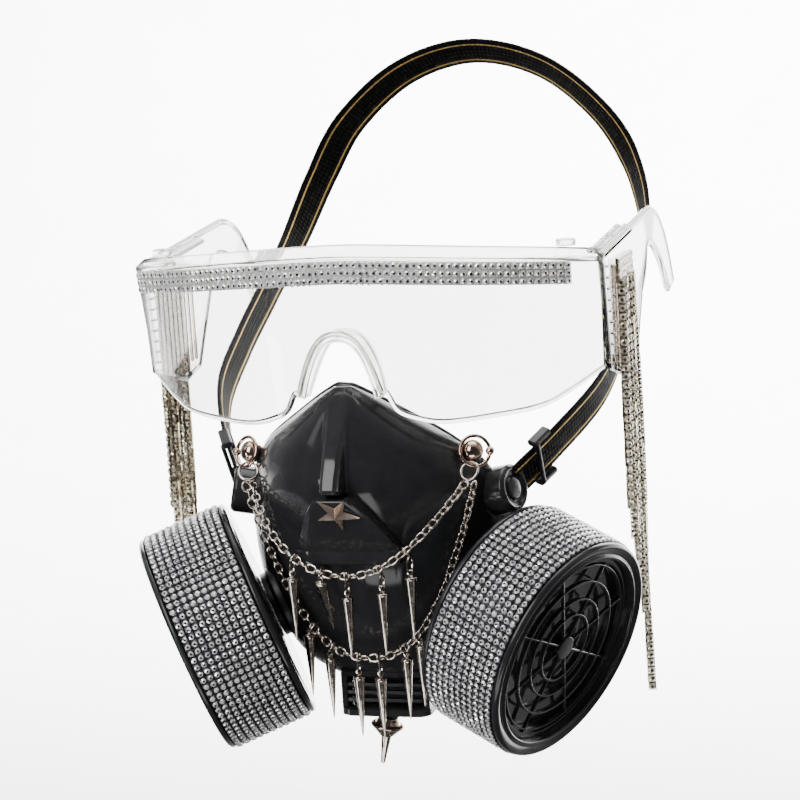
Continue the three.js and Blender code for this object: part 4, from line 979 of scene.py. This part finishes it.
def spike_drop(line, side, neck, back):
    """One spike: a long cone with a collar and an eye, a small ring, and a ring that goes round the chain."""
    share = side / line(np.array(1.0))[0]
    place = line(np.array(share))
    step = 0.01
    along = unit(line(np.array(share + step)) - line(np.array(share - step)))
    hang = unit(np.array([0, 0, -1.0]) + along * along[2]) * SPIKE_LOOP
    cap, tip = -neck, -neck - SPIKE_LENGTH
    shoulder = SPIKE_RADIUS * 0.95
    corners = [[0, tip], [0.22, tip + 0.15], [shoulder, cap - 1.3], [shoulder, cap - 1.1],
               [SPIKE_RADIUS, cap - 0.9], [SPIKE_RADIUS, cap - 0.3], [SPIKE_RADIUS * 0.86, cap],
               [1.2, cap + 0.25], [0.8, cap + 0.8], [0, cap + 0.9]]
    parts = [turned(smooth_profile(corners, 2, 0.15), 28)]
    eye = ring_wire(0.85, 0.32, 18, 7)
    parts.append((eye[0][:, [0, 2, 1]] + [0, 0, cap + 1.5], eye[1]))
    reach = neck - 1.6
    if reach > 1.5:
        middle = 0.5 * reach + 0.2
        small = ring_wire(middle, 0.34, 26, 7)
        parts.append((small[0][:, [2, 0, 1]] + [0, 0, -middle], small[1]))
    body = tipped(joined(parts), (1, 0, 0), back)
    loop = placed(ring_wire(SPIKE_LOOP, SPIKE_WIRE, 30, 8), (0, 0, 0), along)
    return joined([(body[0] + hang, body[1]), loop]), place


def star():
    """The star: five long ridged points about a raised middle, on a thin rim."""
    points = 10
    angle = np.arange(points) * math.pi / 5 + math.radians(STAR_TURN)
    radius = np.where(np.arange(points) % 2, STAR_RADIUS * STAR_WAIST, STAR_RADIUS)
    edge = np.stack([radius * np.cos(angle), radius * np.sin(angle), 0 * angle], -1)
    rise = np.where(np.arange(points) % 2, 0.35, 0.6)
    lifted = edge * [0.97, 0.97, 1] + rise[:, None] * [0, 0, 1]
    verts = np.concatenate([edge, lifted, [[0, 0, STAR_HEIGHT], [0, 0, 0]]])
    faces = []
    for i in range(points):
        j = (i + 1) % points
        faces += [[i, j, points + j, points + i], [points + i, points + j, 2 * points],
                  [j, i, 2 * points + 1]]
    slope = (PANEL_TOP_FORWARD - PANEL_LOW_FORWARD) / (PANEL_HEIGHT - PANEL_LIP)
    normal = unit([0, -1, -slope])
    seat = [STAR_SIDE, -(PANEL_TOP_FORWARD - slope * STAR_DOWN), -PANEL_TOP - STAR_DOWN] + normal * GAP
    return placed((verts, faces), seat, normal)


def chin_stud():
    """The chin stud's neck, flange, bowl and blunt spike, tipped to the wearer's right."""
    top = np.array([0, VENT_FRONT + 5, -VENT_TOP - VENT_HEIGHT - GAP])
    flange, bowl = -2.6, -7.4
    width = 2 * CHIN_TIP + 0.2
    profiles = (([[0, 0.2], [3.7, 0.2], [3.9, -0.4], [4.9, flange + 0.2], [0, flange]], 40),
                ([[0, flange + 0.1], [5.6, flange + 0.1], [CHIN_FLANGE, flange - 0.3],
                  [CHIN_FLANGE, flange - 0.9], [5.8, flange - 1.5], [0, flange - 1.6]], 48),
                ([[0, flange - 1.4], [5.2, flange - 1.5], [4.7, flange - 2.4], [3.0, bowl + 0.5], [2.6, bowl],
                  [0, bowl - 0.1]], 40),
                ([[0, bowl + 0.1], [width, bowl], [width, bowl - 0.3], [CHIN_TIP, bowl - CHIN_SPIKE + 0.3],
                  [CHIN_TIP - 0.2, bowl - CHIN_SPIKE], [0, bowl - CHIN_SPIKE]], 32))
    shapes = [tipped(turned(smooth_profile(corners, 3, 0.3), sides), (0, 1, 0), CHIN_LEAN)
              for corners, sides in profiles]
    return [(verts + top - [0, 0, 0.9], faces) for verts, faces in shapes]


# The goggles

def lens_depth(x, half, depth):
    """How far back the lens is at a place across it: a power curve from its middle to its ends."""
    return -LENS_FORWARD + depth * (np.abs(x) / half)**LENS_CURVE


def lens_top(x):
    """The height of the lens's top edge, which droops to its corners."""
    return GOGGLE_TOP - GOGGLE_DROOP * (np.abs(x) / GOGGLE_HALF)**1.6


def arch_height(share, top):
    """The nose arch's height at a share of its half width; its legs reach down to the mask's rim."""
    return top - (top + ARCH_LEG) * np.abs(share)**2.6


def lens_low(x):
    """The height of the lens's lower edge: the arch over the nose, then a line through the table."""
    side = np.abs(x)
    reach = ARCH_HALF + ARCH_THICK
    edge = -LENS_LOW * between(LENS_EDGE, 1, np.maximum(side / LENS_LOW_HALF, LENS_EDGE[0, 0]))
    arch = arch_height(side / reach, ARCH_TOP + ARCH_THICK)
    return np.where(side < reach, np.maximum(edge, arch), edge)


def lens_point(across, level, inset):
    """The lens's surface: level 0 is its lower edge, 1 its top edge and 2 the back of the brow ledge."""
    up = np.minimum(level, 1)
    half = LENS_LOW_HALF + (GOGGLE_HALF - LENS_LOW_HALF) * up
    x = across * half
    low = lens_low(x)
    z = low + (lens_top(x) - low) * up
    lean = (z + LENS_LOW) / (GOGGLE_TOP + LENS_LOW)
    depth = LENS_LOW_DEPTH + (LENS_TOP_DEPTH - LENS_LOW_DEPTH) * lean
    y = lens_depth(x, half, depth)
    slope = depth * LENS_CURVE * np.abs(across)**(LENS_CURVE - 1) / half
    out = unit(np.stack([np.sign(x) * slope, -1 + 0 * slope, 0 * slope], -1))
    back = np.maximum(level - 1, 0)
    reach = (LEDGE_DEPTH - inset) * (1 - 0.7 * np.abs(across)**8)
    point = np.stack([x, y, z], -1) - out * (inset + reach * back)[..., None]
    point[..., 2] += np.where(level > 1, LEDGE_RISE * back - inset, 0)
    return point


def across_lens(count):
    """Places across the lens, closer together by the nose."""
    t = np.linspace(-1, 1, count)
    return np.sign(t) * np.abs(t)**1.25


def goggle_lens():
    """The moulded lens: its front, brow ledge and nose arch, with a polished bead along the lower edge."""
    across = across_lens(161)[None, :]
    level = np.concatenate([np.linspace(0, 0.97, 24), [0.985, 0.995, 1.0001, 1.02, 1.06],
                            np.linspace(1.15, 2, 8)])[:, None]
    level = level + 0 * across
    across = across + 0 * level
    lens = wall(lens_point(across, level, 0.0), lens_point(across, level, LENS_THICK))
    edge = lens_point(across_lens(161), np.zeros(161), LENS_THICK / 2)
    bead = tube(edge, 1.02, 8)
    brow = tube(lens_point(across_lens(161), np.full(161, 2.0), LENS_THICK / 2), 0.9, 8)
    t = np.linspace(-1, 1, 61)
    t = np.sign(t) * np.abs(t)**0.8
    def line(half, top, back):
        return np.stack([half * t, 0 * t + back, arch_height(t, top)], -1)
    rows = []
    for half, top in ((ARCH_HALF + ARCH_THICK, ARCH_TOP + ARCH_THICK), (ARCH_HALF, ARCH_TOP)):
        rows.append(np.array([line(half, top, -LENS_FORWARD + 0.8 + ARCH_DEPTH * s * (1 - 0.75 * t**6))
                              for s in np.linspace(0, 1, 6)]))
    keep = np.abs(t) < 0.93
    rows = [row[:, keep] for row in rows]
    edges = [tube(row[k], 0.5, 8) for row, k in ((rows[0], 0), (rows[1], 0), (rows[0], -1), (rows[1], -1))]
    return lens, bead, brow, joined([wall(*rows), *edges])


arm_side = GOGGLE_HALF - 1.4
arm_top = float(lens_top(GOGGLE_HALF))


def arm_front(z):
    """Where the side arm starts behind the lens's end, at a height."""
    return (lens_depth(GOGGLE_HALF, GOGGLE_HALF, LENS_LOW_DEPTH + (LENS_TOP_DEPTH - LENS_LOW_DEPTH)
                       * (z + LENS_LOW) / (GOGGLE_TOP + LENS_LOW)) + 2.8)


def curve_through(start, pull, end, count=14):
    """A quadratic curve from a start to an end, drawn towards a third point."""
    t = np.linspace(0, 1, count)[1:, None]
    return (1 - t)**2 * np.array(start) + 2 * t * (1 - t) * np.array(pull) + t**2 * np.array(end)


def arm_outline():
    """The side arm's outline from the side: shield, arm over the ear and drooping end."""
    start, top = arm_front(arm_top), arm_top + ARM_RISE
    end = start + ARM_LENGTH
    hook = curve_through((end, top), (end + ARM_HOOK * 0.6, top), (end + ARM_HOOK, top - ARM_HOOK_DROP))
    under = curve_through((end + ARM_HOOK - 9, top - ARM_HOOK_DROP - 2),
                          (end + ARM_HOOK * 0.35, top - ARM_HEIGHT), (end - 6, top - ARM_HEIGHT))
    return np.concatenate([[[start, arm_top], [end, top]], hook,
                           [[end + ARM_HOOK - 9, top - ARM_HOOK_DROP - 2]], under,
                           [[start + SHIELD_LENGTH + 4, arm_top - ARM_HEIGHT * 1.4],
                            [start + SHIELD_LENGTH - 15, arm_top - SHIELD_DROP + 3],
                            [start + SHIELD_LENGTH - 30, arm_top - SHIELD_DROP], [arm_front(-1.0), -1.0]]])


def arm_tilt():
    """The turn that lays a level piece along the side arm's rising top edge."""
    slope = math.atan2(ARM_RISE, ARM_LENGTH)
    c, s = math.cos(slope), math.sin(slope)
    return np.array([[1, 0, 0], [0, c, -s], [0, s, c]])


def side_arm():
    """The clear side arm: its plate, the top flange, a thick rim and the louvres of its shield."""
    outline = arm_outline()
    count = len(outline)
    plate = []
    for x in (-ARM_THICK / 2, ARM_THICK / 2):
        plate.append(np.column_stack([np.full(count, arm_side + x), outline]))
    verts = np.concatenate(plate)
    faces = [list(range(count)), list(range(count, 2 * count))[::-1]]
    faces += [[i, (i + 1) % count, count + (i + 1) % count, count + i] for i in range(count)]
    closed = np.concatenate([outline, outline[:1]])
    run = run_along(closed)
    marks = np.linspace(0, run[-1], 220, endpoint=False)
    path = np.column_stack([np.full(len(marks), arm_side), at_lengths(closed, run, marks)])
    rim = tube(path, 1.35, 8, closed=True)
    start = arm_front(arm_top)
    tilt = arm_tilt()
    flange = block((FLANGE_WIDTH, ARM_STRIP_LENGTH + 4, FLANGE_THICK), 0.4)
    middle = [-FLANGE_WIDTH / 2 + ARM_THICK / 2, FLANGE_START + ARM_STRIP_LENGTH / 2, -FLANGE_THICK / 2]
    flange = ((flange[0] + middle) @ tilt.T + [arm_side, start, arm_top], flange[1])
    louvres = []
    for i in range(LOUVRES):
        y = start + 14 + LOUVRE_PITCH * i
        slat = block((2.6, 1.2, 40 - 1.1 * i), 0.3)
        louvres.append((slat[0] + [arm_side, y, arm_top - 25 - 0.4 * i], slat[1]))
    rungs = []
    pitch = (arm_top - 7) / SHIELD_SLOTS
    for i in range(SHIELD_SLOTS + 1):
        z = arm_top - 5 - pitch * i
        rung = block((3.4, 5.4, 0.9), 0.25)
        rungs.append((rung[0] + [arm_side, arm_front(z) + 7, z], rung[1]))
    posts = []
    for offset in (1.6, 4.2, 9.8):
        z = np.linspace(arm_top - 3, 1.5, 20)
        posts.append(tube(np.stack([0 * z + arm_side, arm_front(z) + offset, z], -1), 0.75, 8))
    return (verts, faces), rim, flange, joined(louvres), joined(rungs + posts)


def strip_stones():
    """Three rows of stones along the lens's top edge, and the mesh band under them."""
    across = np.linspace(STRIP_LEFT, STRIP_RIGHT, BROW_STONES)
    height = lens_top(across * GOGGLE_HALF) - lens_low(across * GOGGLE_HALF)
    rows = [1 - (STRIP_DOWN + STRIP_HEIGHT * (i + 0.5) / 3) / height for i in range(3)]
    places = np.concatenate([lens_point(across, level, -GAP - 0.75) for level in rows])
    behind = np.concatenate([lens_point(across, level, 1.0) for level in rows])
    step = 0.002
    along = np.concatenate([lens_point(across + step, level, 0.0) - lens_point(across - step, level, 0.0)
                            for level in rows])
    crowns, tables, cups = stone_field(places, unit(places - behind), unit(along), 11, BROW_STONE)
    edges = [1 - (STRIP_DOWN + drop) / height for drop in (0.1, STRIP_HEIGHT - 0.1)]
    outer = np.array([lens_point(across, level, -GAP - 0.5) for level in edges])
    inner = np.array([lens_point(across, level, -GAP * 0.3) for level in edges])
    return crowns, tables, cups, wall(outer, inner)


def arm_stones(pitch):
    """Two rows of stones along the top of a side arm."""
    tilt = arm_tilt()
    y, x = np.meshgrid(FLANGE_START + (np.arange(ARM_STONES) + 0.5) * ARM_STRIP_LENGTH / ARM_STONES,
                       [-pitch / 2, pitch / 2], indexing="ij")
    flat = np.stack([x.ravel() - FLANGE_WIDTH / 2 + ARM_THICK / 2, y.ravel(), 0 * x.ravel() + GAP + 0.75], -1)
    places = flat @ tilt.T + [arm_side, arm_front(arm_top), arm_top]
    outs = np.tile(tilt @ [0, 0, 1.0], (len(places), 1))
    crowns, tables, cups = stone_field(places, outs, np.tile(tilt @ [0, 1.0, 0], (len(places), 1)), 13)
    base = block((5.6, ARM_STRIP_LENGTH, 0.5), 0.1)
    middle = [-FLANGE_WIDTH / 2 + ARM_THICK / 2, FLANGE_START + ARM_STRIP_LENGTH / 2, GAP + 0.25]
    base = ((base[0] + middle) @ tilt.T + [arm_side, arm_front(arm_top), arm_top], base[1])
    return crowns, tables, cups, base


def fringe_stones(pitch, seed):
    """Strands of single stones that hang from a head of three rows, turning a little as they fall."""
    side = arm_side + ARM_THICK / 2 + GAP
    first, head = arm_front(arm_top) + FRINGE_START, arm_top - 4
    dice = np.random.default_rng(seed)
    places, outs, threads = [], [], []
    for i in range(FRINGE_STRANDS):
        share = 0.55 + 0.34 * (i / (FRINGE_STRANDS - 1)) + (0.11 if i == FRINGE_STRANDS - 1 else 0)
        length = FRINGE_LENGTH * share
        drop = np.arange(FRINGE_HEAD, length, FRINGE_STEP)
        sway = 0.5 * np.sin(drop / 23 + i)
        twist = math.radians(52) + 0.5 * np.sin(drop / 17 + 2 * i) + dice.normal(0, 0.08, len(drop))
        places.append(np.stack([0 * drop + side + 1.5, first + i * FRINGE_PITCH + sway, head - drop], -1))
        outs.append(np.stack([np.cos(twist), -np.sin(twist), 0 * drop], -1))
        threads.append(tube(places[-1][::3] - outs[-1][::3] * 0.5, 0.35, 5))
    y, z = np.meshgrid(np.arange(9) * pitch, np.arange(3) * pitch, indexing="ij")
    rows = np.stack([0 * y.ravel() + side + 0.9, first + y.ravel(), head - 1.4 - z.ravel()], -1)
    places.append(rows)
    outs.append(np.tile([1.0, 0.0, 0.0], (len(rows), 1)))
    places, outs = np.concatenate(places), np.concatenate(outs)
    crowns, tables, cups = stone_field(places, outs, np.tile([0.0, 0.0, 1.0], (len(places), 1)), seed + 1,
                                       FRINGE_STONE)
    plate = block((0.5, 25.5, FRINGE_HEAD), 0.1)
    plate = (plate[0] + [side + 0.3, first + 11.2, head - FRINGE_HEAD / 2], plate[1])
    return crowns, tables, cups, joined(threads + [plate])


def hinge_boss():
    """The hinge barrel: a stepped, turned boss with a slotted pin."""
    x = arm_side - 11
    place = [x, float(lens_depth(x, GOGGLE_HALF, LENS_TOP_DEPTH)) + 9, float(lens_top(x)) + LEDGE_RISE + GAP]
    corners = [[0, 0], [BOSS_RADIUS, 0], [BOSS_RADIUS, BOSS_HEIGHT - 0.4], [BOSS_RADIUS - 0.4, BOSS_HEIGHT],
               [1.9, BOSS_HEIGHT], [1.8, BOSS_HEIGHT - 0.5], [0, BOSS_HEIGHT - 0.4]]
    verts, faces = turned(smooth_profile(corners, 3, 0.3), 40)
    return verts + place, faces


# Settings

class MaskSizes(bpy.types.PropertyGroup):
    """Sizes of the crystal work and the chains, and the colour of the strap's threads."""
    pitch: FloatProperty(name="Stone pitch", description="Distance between neighbouring stones",
                         default=STONE_PITCH * MM, unit="LENGTH", subtype="DISTANCE", precision=4)
    link_pitch: FloatProperty(name="Link pitch", description="Length of chain that one link takes up",
                              default=LINK_PITCH * MM, unit="LENGTH", subtype="DISTANCE", precision=4)
    thread: FloatVectorProperty(name="Threads", description="Colour of the two threads along the strap",
                                default=linear("#d9bd7a")[:3], min=0.0, max=1.0, subtype="COLOR")


class MaskStage(bpy.types.PropertyGroup):
    """The studio round the mask."""
    floor_height: FloatProperty(name="Floor", description="Height of the studio floor", default=-0.42,
                                unit="LENGTH", subtype="DISTANCE")
    light_power: FloatProperty(name="Light", description="Power of the main soft light", default=9.0, min=0.0,
                               unit="POWER")


class MaskPiece:
    """What all the operators share: they build once and can be undone."""
    bl_options = {"REGISTER", "UNDO"}


class MASK_OT_half_mask(MaskPiece, bpy.types.Operator):
    """Builds the moulded half mask with its nose panel and vent housing"""
    bl_idname = "mask.half_mask"
    bl_label = "Half mask"

    def execute(self, context):
        make_piece("mask_shell", mask_shell(), ["face_shell"])
        sharp_piece("flared_nose_panel", nose_panel(), "nose_panel", 30)
        sharp_piece("chin_vent", vent_housing(), "vent_housing", 30)
        return {"FINISHED"}


class MASK_OT_cartridges(MaskPiece, bpy.types.Operator):
    """Builds both filter cartridges with their grilles, ports and crystal sleeves"""
    bl_idname = "mask.cartridges"
    bl_label = "Filter cartridges"

    def execute(self, context):
        housing = placed(cartridge_housing(), CARTRIDGE_PLACE, CARTRIDGE_AXIS)
        grille = placed(grille_frame(), CARTRIDGE_PLACE, CARTRIDGE_AXIS)
        for side, (body, bars, port) in pairs((housing, grille, filter_port())):
            sharp_piece(f"filter_housing_{side}", [(body, finish("gloss"))],
                        f"cartridge_body_{side}", 40)
            sharp_piece(f"filter_grille_{side}", [(bars, finish("gloss"))],
                        f"cartridge_grille_{side}", 40)
            sharp_piece(f"bayonet_port_{side}", [(port, finish("satin"))],
                        f"filter_port_{side}", 40)
        for side, shapes in pairs(sleeve(context.scene.mask_sizes.pitch / MM)):
            make_piece(f"crystal_sleeve_{side}", list(zip(shapes, crystal_work("stone", "cup", "mesh"))),
                       [f"stone_sleeve_{side}"], flat=(0, 1, 2))
        return {"FINISHED"}


class MASK_OT_strap(MaskPiece, bpy.types.Operator):
    """Builds the elastic head strap with its lugs and slide buckles"""
    bl_idname = "mask.strap"
    bl_label = "Head strap"

    def execute(self, context):
        shape, length = strap_band()
        band = make_piece("elastic_head_strap", [(shape, finish("elastic"))], ["head_strap"])
        lay_band_map(band, shape[0], length)
        for side, (lug, buckle) in pairs((strap_lug(), strap_buckle())):
            sharp_piece(f"round_lug_{side}", [(lug, finish("gloss"))], f"strap_lug_{side}", 40)
            sharp_piece(f"slide_buckle_{side}", [(buckle, finish("satin"))],
                        f"strap_buckle_{side}", 40)
        return {"FINISHED"}


def lay_band_map(band, points, length):
    """Gives the band a map in metres: along its length, and across its width from the middle."""
    mesh = band.data
    layer = mesh.uv_layers.new(name="band")
    corner = np.empty(len(mesh.loops), np.int32)
    mesh.loops.foreach_get("vertex_index", corner)
    where = np.empty(len(mesh.vertices) * 3)
    mesh.vertices.foreach_get("co", where)
    where = where.reshape(-1, 3) / MM
    share = np.linspace(-1, 1, len(length))
    line = strap_line(share)
    _, across, _ = strap_frame(share)
    ring = np.argmin(((where[:, None] - line[None])**2).sum(-1), axis=1)
    aside = ((where - line[ring]) * across[ring]).sum(-1)
    flat = np.stack([length[ring] * MM, aside * MM], -1)[corner]
    layer.data.foreach_set("uv", flat.ravel())


class MASK_OT_studs(MaskPiece, bpy.types.Operator):
    """Builds the cheek studs, their rings, the star and the chin stud"""
    bl_idname = "mask.studs"
    bl_label = "Studs and rings"

    def execute(self, context):
        for side, (stud, ring, jump) in pairs((cheek_stud(), stud_ring(), jump_ring())):
            make_piece(f"ball_stud_{side}", [(stud, finish("rose"))], [f"cheek_stud_{side}"])
            make_piece(f"beaded_ring_{side}", [(ring, finish("rose"))], [f"stud_ring_{side}"])
            make_piece(f"hanging_ring_{side}", [(jump, finish("nickel"))], [f"jump_ring_{side}"])
        make_piece("ridged_star", [(star(), finish("bronze"))], ["star_stud"], flat=(0,))
        kinds = ("rose", "rose", "brass", "nickel")
        parts = [(shape, finish(kind)) for shape, kind in zip(chin_stud(), kinds)]
        sharp_piece("chin_spike_stud", parts, "chin_stud", 45)
        return {"FINISHED"}


class MASK_OT_chains(MaskPiece, bpy.types.Operator):
    """Builds both linked chains and the spikes that hang from them"""
    bl_idname = "mask.chains"
    bl_label = "Chains and spikes"

    def execute(self, context):
        pitch = context.scene.mask_sizes.link_pitch / MM
        for name, line, seed, spikes in (("upper", upper_line, 3, UPPER_SPIKES),
                                         ("lower", lower_line, 5, LOWER_SPIKES)):
            make_piece(f"{name}_link_chain", [(linked_chain(line, pitch, seed), finish("nickel"))],
                       [f"{name}_chain"])
            for i, (side, neck, back) in enumerate(spikes):
                shape, place = spike_drop(line, side, neck, back)
                sharp_piece(f"{name}_cone_spike_{i + 1}", [((shape[0] + place, shape[1]), finish("nickel"))],
                            f"{name}_spike_{i + 1}", 50)
        return {"FINISHED"}


class MASK_OT_goggles(MaskPiece, bpy.types.Operator):
    """Builds the clear goggles with their side arms and hinge bosses"""
    bl_idname = "mask.goggles"
    bl_label = "Goggles"

    def execute(self, context):
        kinds = ("clear", "smoke", "smoke", "smoke")
        sharp_piece("moulded_lens", [(shape, finish(kind)) for shape, kind in zip(goggle_lens(), kinds)],
                    "goggle_lens", 50)
        kinds = ("clear", "smoke", "smoke", "louvre", "smoke")
        for side, (*arm, boss) in pairs((*side_arm(), hinge_boss())):
            sharp_piece(f"shield_arm_{side}", [(shape, finish(kind)) for shape, kind in zip(arm, kinds)],
                        f"side_arm_{side}", 35)
            sharp_piece(f"hinge_barrel_{side}", [(boss, finish("smoke"))],
                        f"hinge_boss_{side}", 40)
        return {"FINISHED"}


class MASK_OT_crystal_trim(MaskPiece, bpy.types.Operator):
    """Builds the crystal strips on the goggles and the fringes that hang from them"""
    bl_idname = "mask.crystal_trim"
    bl_label = "Crystal trim"

    def execute(self, context):
        pitch = context.scene.mask_sizes.pitch / MM
        bright = crystal_work("stone", "bright_cup", "bright_cup")
        make_piece("brow_crystal_strip", list(zip(strip_stones(), bright)), ["front_strip"],
                   flat=(0, 1, 2))
        for side, shapes in pairs(arm_stones(pitch)):
            make_piece(f"arm_crystal_strip_{side}", list(zip(shapes, bright)),
                       [f"arm_strip_{side}"], flat=(0, 1, 2))
        for side, shapes in pairs(fringe_stones(pitch, 17)):
            make_piece(f"crystal_fringe_{side}", list(zip(shapes, crystal_work("gold_stone", "brass", "brass"))),
                       [f"fringe_{side}"], flat=(0, 1, 2))
        return {"FINISHED"}


class MASK_OT_stage(MaskPiece, bpy.types.Operator):
    """Sets up the pale studio sweep, the soft lights and the camera"""
    bl_idname = "mask.stage"
    bl_label = "Studio"

    def execute(self, context):
        settings = context.scene.mask_stage
        sweep_studio(settings.floor_height)
        studio_room()
        soft_lights(settings.light_power)
        aim_camera()
        return {"FINISHED"}


def sweep_studio(height):
    """A floor that turns up into a backdrop through a wide quarter circle."""
    angle = np.linspace(0, math.pi / 2, 16)
    run = np.concatenate([[0.6, 0.9], 1.2 + 0.8 * np.sin(angle), [2.0]])
    rise = np.concatenate([[0, 0], 0.8 - 0.8 * np.cos(angle), [3.5]]) + height
    across = np.linspace(-4, 4, 9)
    grid = np.stack([across[None, :] + 0 * run[:, None], run[:, None] + 0 * across,
                     rise[:, None] + 0 * across], -1)
    mesh = bpy.data.meshes.new("studio_sweep")
    mesh.from_pydata(grid.reshape(-1, 3).tolist(), [], grid_faces(*grid.shape[:2]))
    mesh.polygons.foreach_set("use_smooth", np.ones(len(mesh.polygons), bool))
    mesh.materials.append(finish("paper"))
    sweep = bpy.data.objects.new("studio_sweep", mesh)
    bpy.context.scene.collection.objects.link(sweep)


def studio_room():
    """A world that is bright behind and above and dark low in front; the camera sees a plain pale room."""
    world = bpy.data.worlds.new("studio_room")
    bpy.context.scene.world = world
    world.use_nodes = True
    links = world.node_tree.links
    back = world.node_tree.nodes["Background"]
    place = add_node(world, "ShaderNodeTexCoord")
    slant = add_node(world, "ShaderNodeVectorMath", operation="DOT_PRODUCT")
    slant.inputs[1].default_value = (0, 0.87, 0.5)
    links.new(place.outputs["Generated"], slant.inputs[0])
    height = add_node(world, "ShaderNodeMapRange", {"Value": slant.outputs["Value"]}, From_Min=-1)
    ramp = add_node(world, "ShaderNodeValToRGB", {"Fac": height.outputs["Result"]})
    ramp.color_ramp.elements[0].color = (0.08, 0.08, 0.081, 1)
    ramp.color_ramp.elements[1].color = (1, 1, 1, 1)
    ramp.color_ramp.elements[0].position = 0.43
    ramp.color_ramp.elements[1].position = 0.82
    links.new(ramp.outputs["Color"], back.inputs["Color"])
    back.inputs["Strength"].default_value = 1.0
    room = add_node(world, "ShaderNodeBackground", Color=linear("#f2f2f2"), Strength=1.1)
    seen = add_node(world, "ShaderNodeLightPath")
    either = add_node(world, "ShaderNodeMixShader", {"Fac": seen.outputs["Is Camera Ray"]})
    links.new(back.outputs[0], either.inputs[1])
    links.new(room.outputs[0], either.inputs[2])
    links.new(either.outputs[0], world.node_tree.nodes["World Output"].inputs["Surface"])


def soft_lights(power):
    """Soft boxes that each face their target, from the table of soft boxes."""
    for name, place, target, size, share, spread in SOFT_BOXES:
        light = bpy.data.lights.new(name, "AREA")
        light.shape = "RECTANGLE"
        light.size, light.size_y = size
        light.energy = power * share
        light.spread = math.radians(spread)
        lamp = bpy.data.objects.new(name, light)
        bpy.context.scene.collection.objects.link(lamp)
        back = unit(np.subtract(place, target))
        right = unit(np.cross([0, 0, 1.0] if abs(back[2]) < 0.95 else [0, 1.0, 0], back))
        lamp.matrix_world = stand(right, np.cross(back, right), back, place)


def stand(right, up, back, place):
    """The matrix that puts a lamp or camera at a place, looking against its back axis."""
    return Matrix([[right[i], up[i], back[i], place[i]] for i in range(3)] + [[0, 0, 0, 1]])


def aim_camera():
    """The camera: 17 degrees round to the wearer's left, 10 degrees up, rolled a little."""
    camera = bpy.data.cameras.new("camera")
    camera.lens, camera.sensor_width = EYE_LENS, EYE_SENSOR
    camera.clip_start, camera.clip_end = 0.05, 30
    eye = bpy.data.objects.new("camera", camera)
    bpy.context.scene.collection.objects.link(eye)
    eye.matrix_world = stand(EYE_RIGHT, EYE_UP, EYE_BACK, EYE_PLACE)
    bpy.context.scene.camera = eye


STEPS = (MASK_OT_half_mask, MASK_OT_cartridges, MASK_OT_strap, MASK_OT_studs, MASK_OT_chains, MASK_OT_goggles,
         MASK_OT_crystal_trim, MASK_OT_stage)


class MASK_PT_panel(bpy.types.Panel):
    """Lists the mask's sizes and the steps that build it."""
    bl_idname = "MASK_PT_panel"
    bl_label = "Costume mask"
    bl_space_type = "VIEW_3D"
    bl_region_type = "UI"
    bl_category = "Mask"

    def draw(self, context):
        for settings in (context.scene.mask_sizes, context.scene.mask_stage):
            for key in settings.bl_rna.properties.keys():
                if key not in {"rna_type", "name"}:
                    self.layout.prop(settings, key)
        for step in STEPS:
            self.layout.operator(step.bl_idname)


CLASSES = (MaskSizes, MaskStage, *STEPS, MASK_PT_panel)


def register():
    for kind in CLASSES:
        bpy.utils.register_class(kind)
    bpy.types.Scene.mask_sizes = PointerProperty(type=MaskSizes)
    bpy.types.Scene.mask_stage = PointerProperty(type=MaskStage)


def unregister():
    del bpy.types.Scene.mask_stage
    del bpy.types.Scene.mask_sizes
    for kind in reversed(CLASSES):
        bpy.utils.unregister_class(kind)


def main():
    """Registers the add-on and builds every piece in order."""
    register()
    for step in STEPS:
        group, name = step.bl_idname.split(".")
        getattr(getattr(bpy.ops, group), name)()


if __name__ == "__main__":
    main()
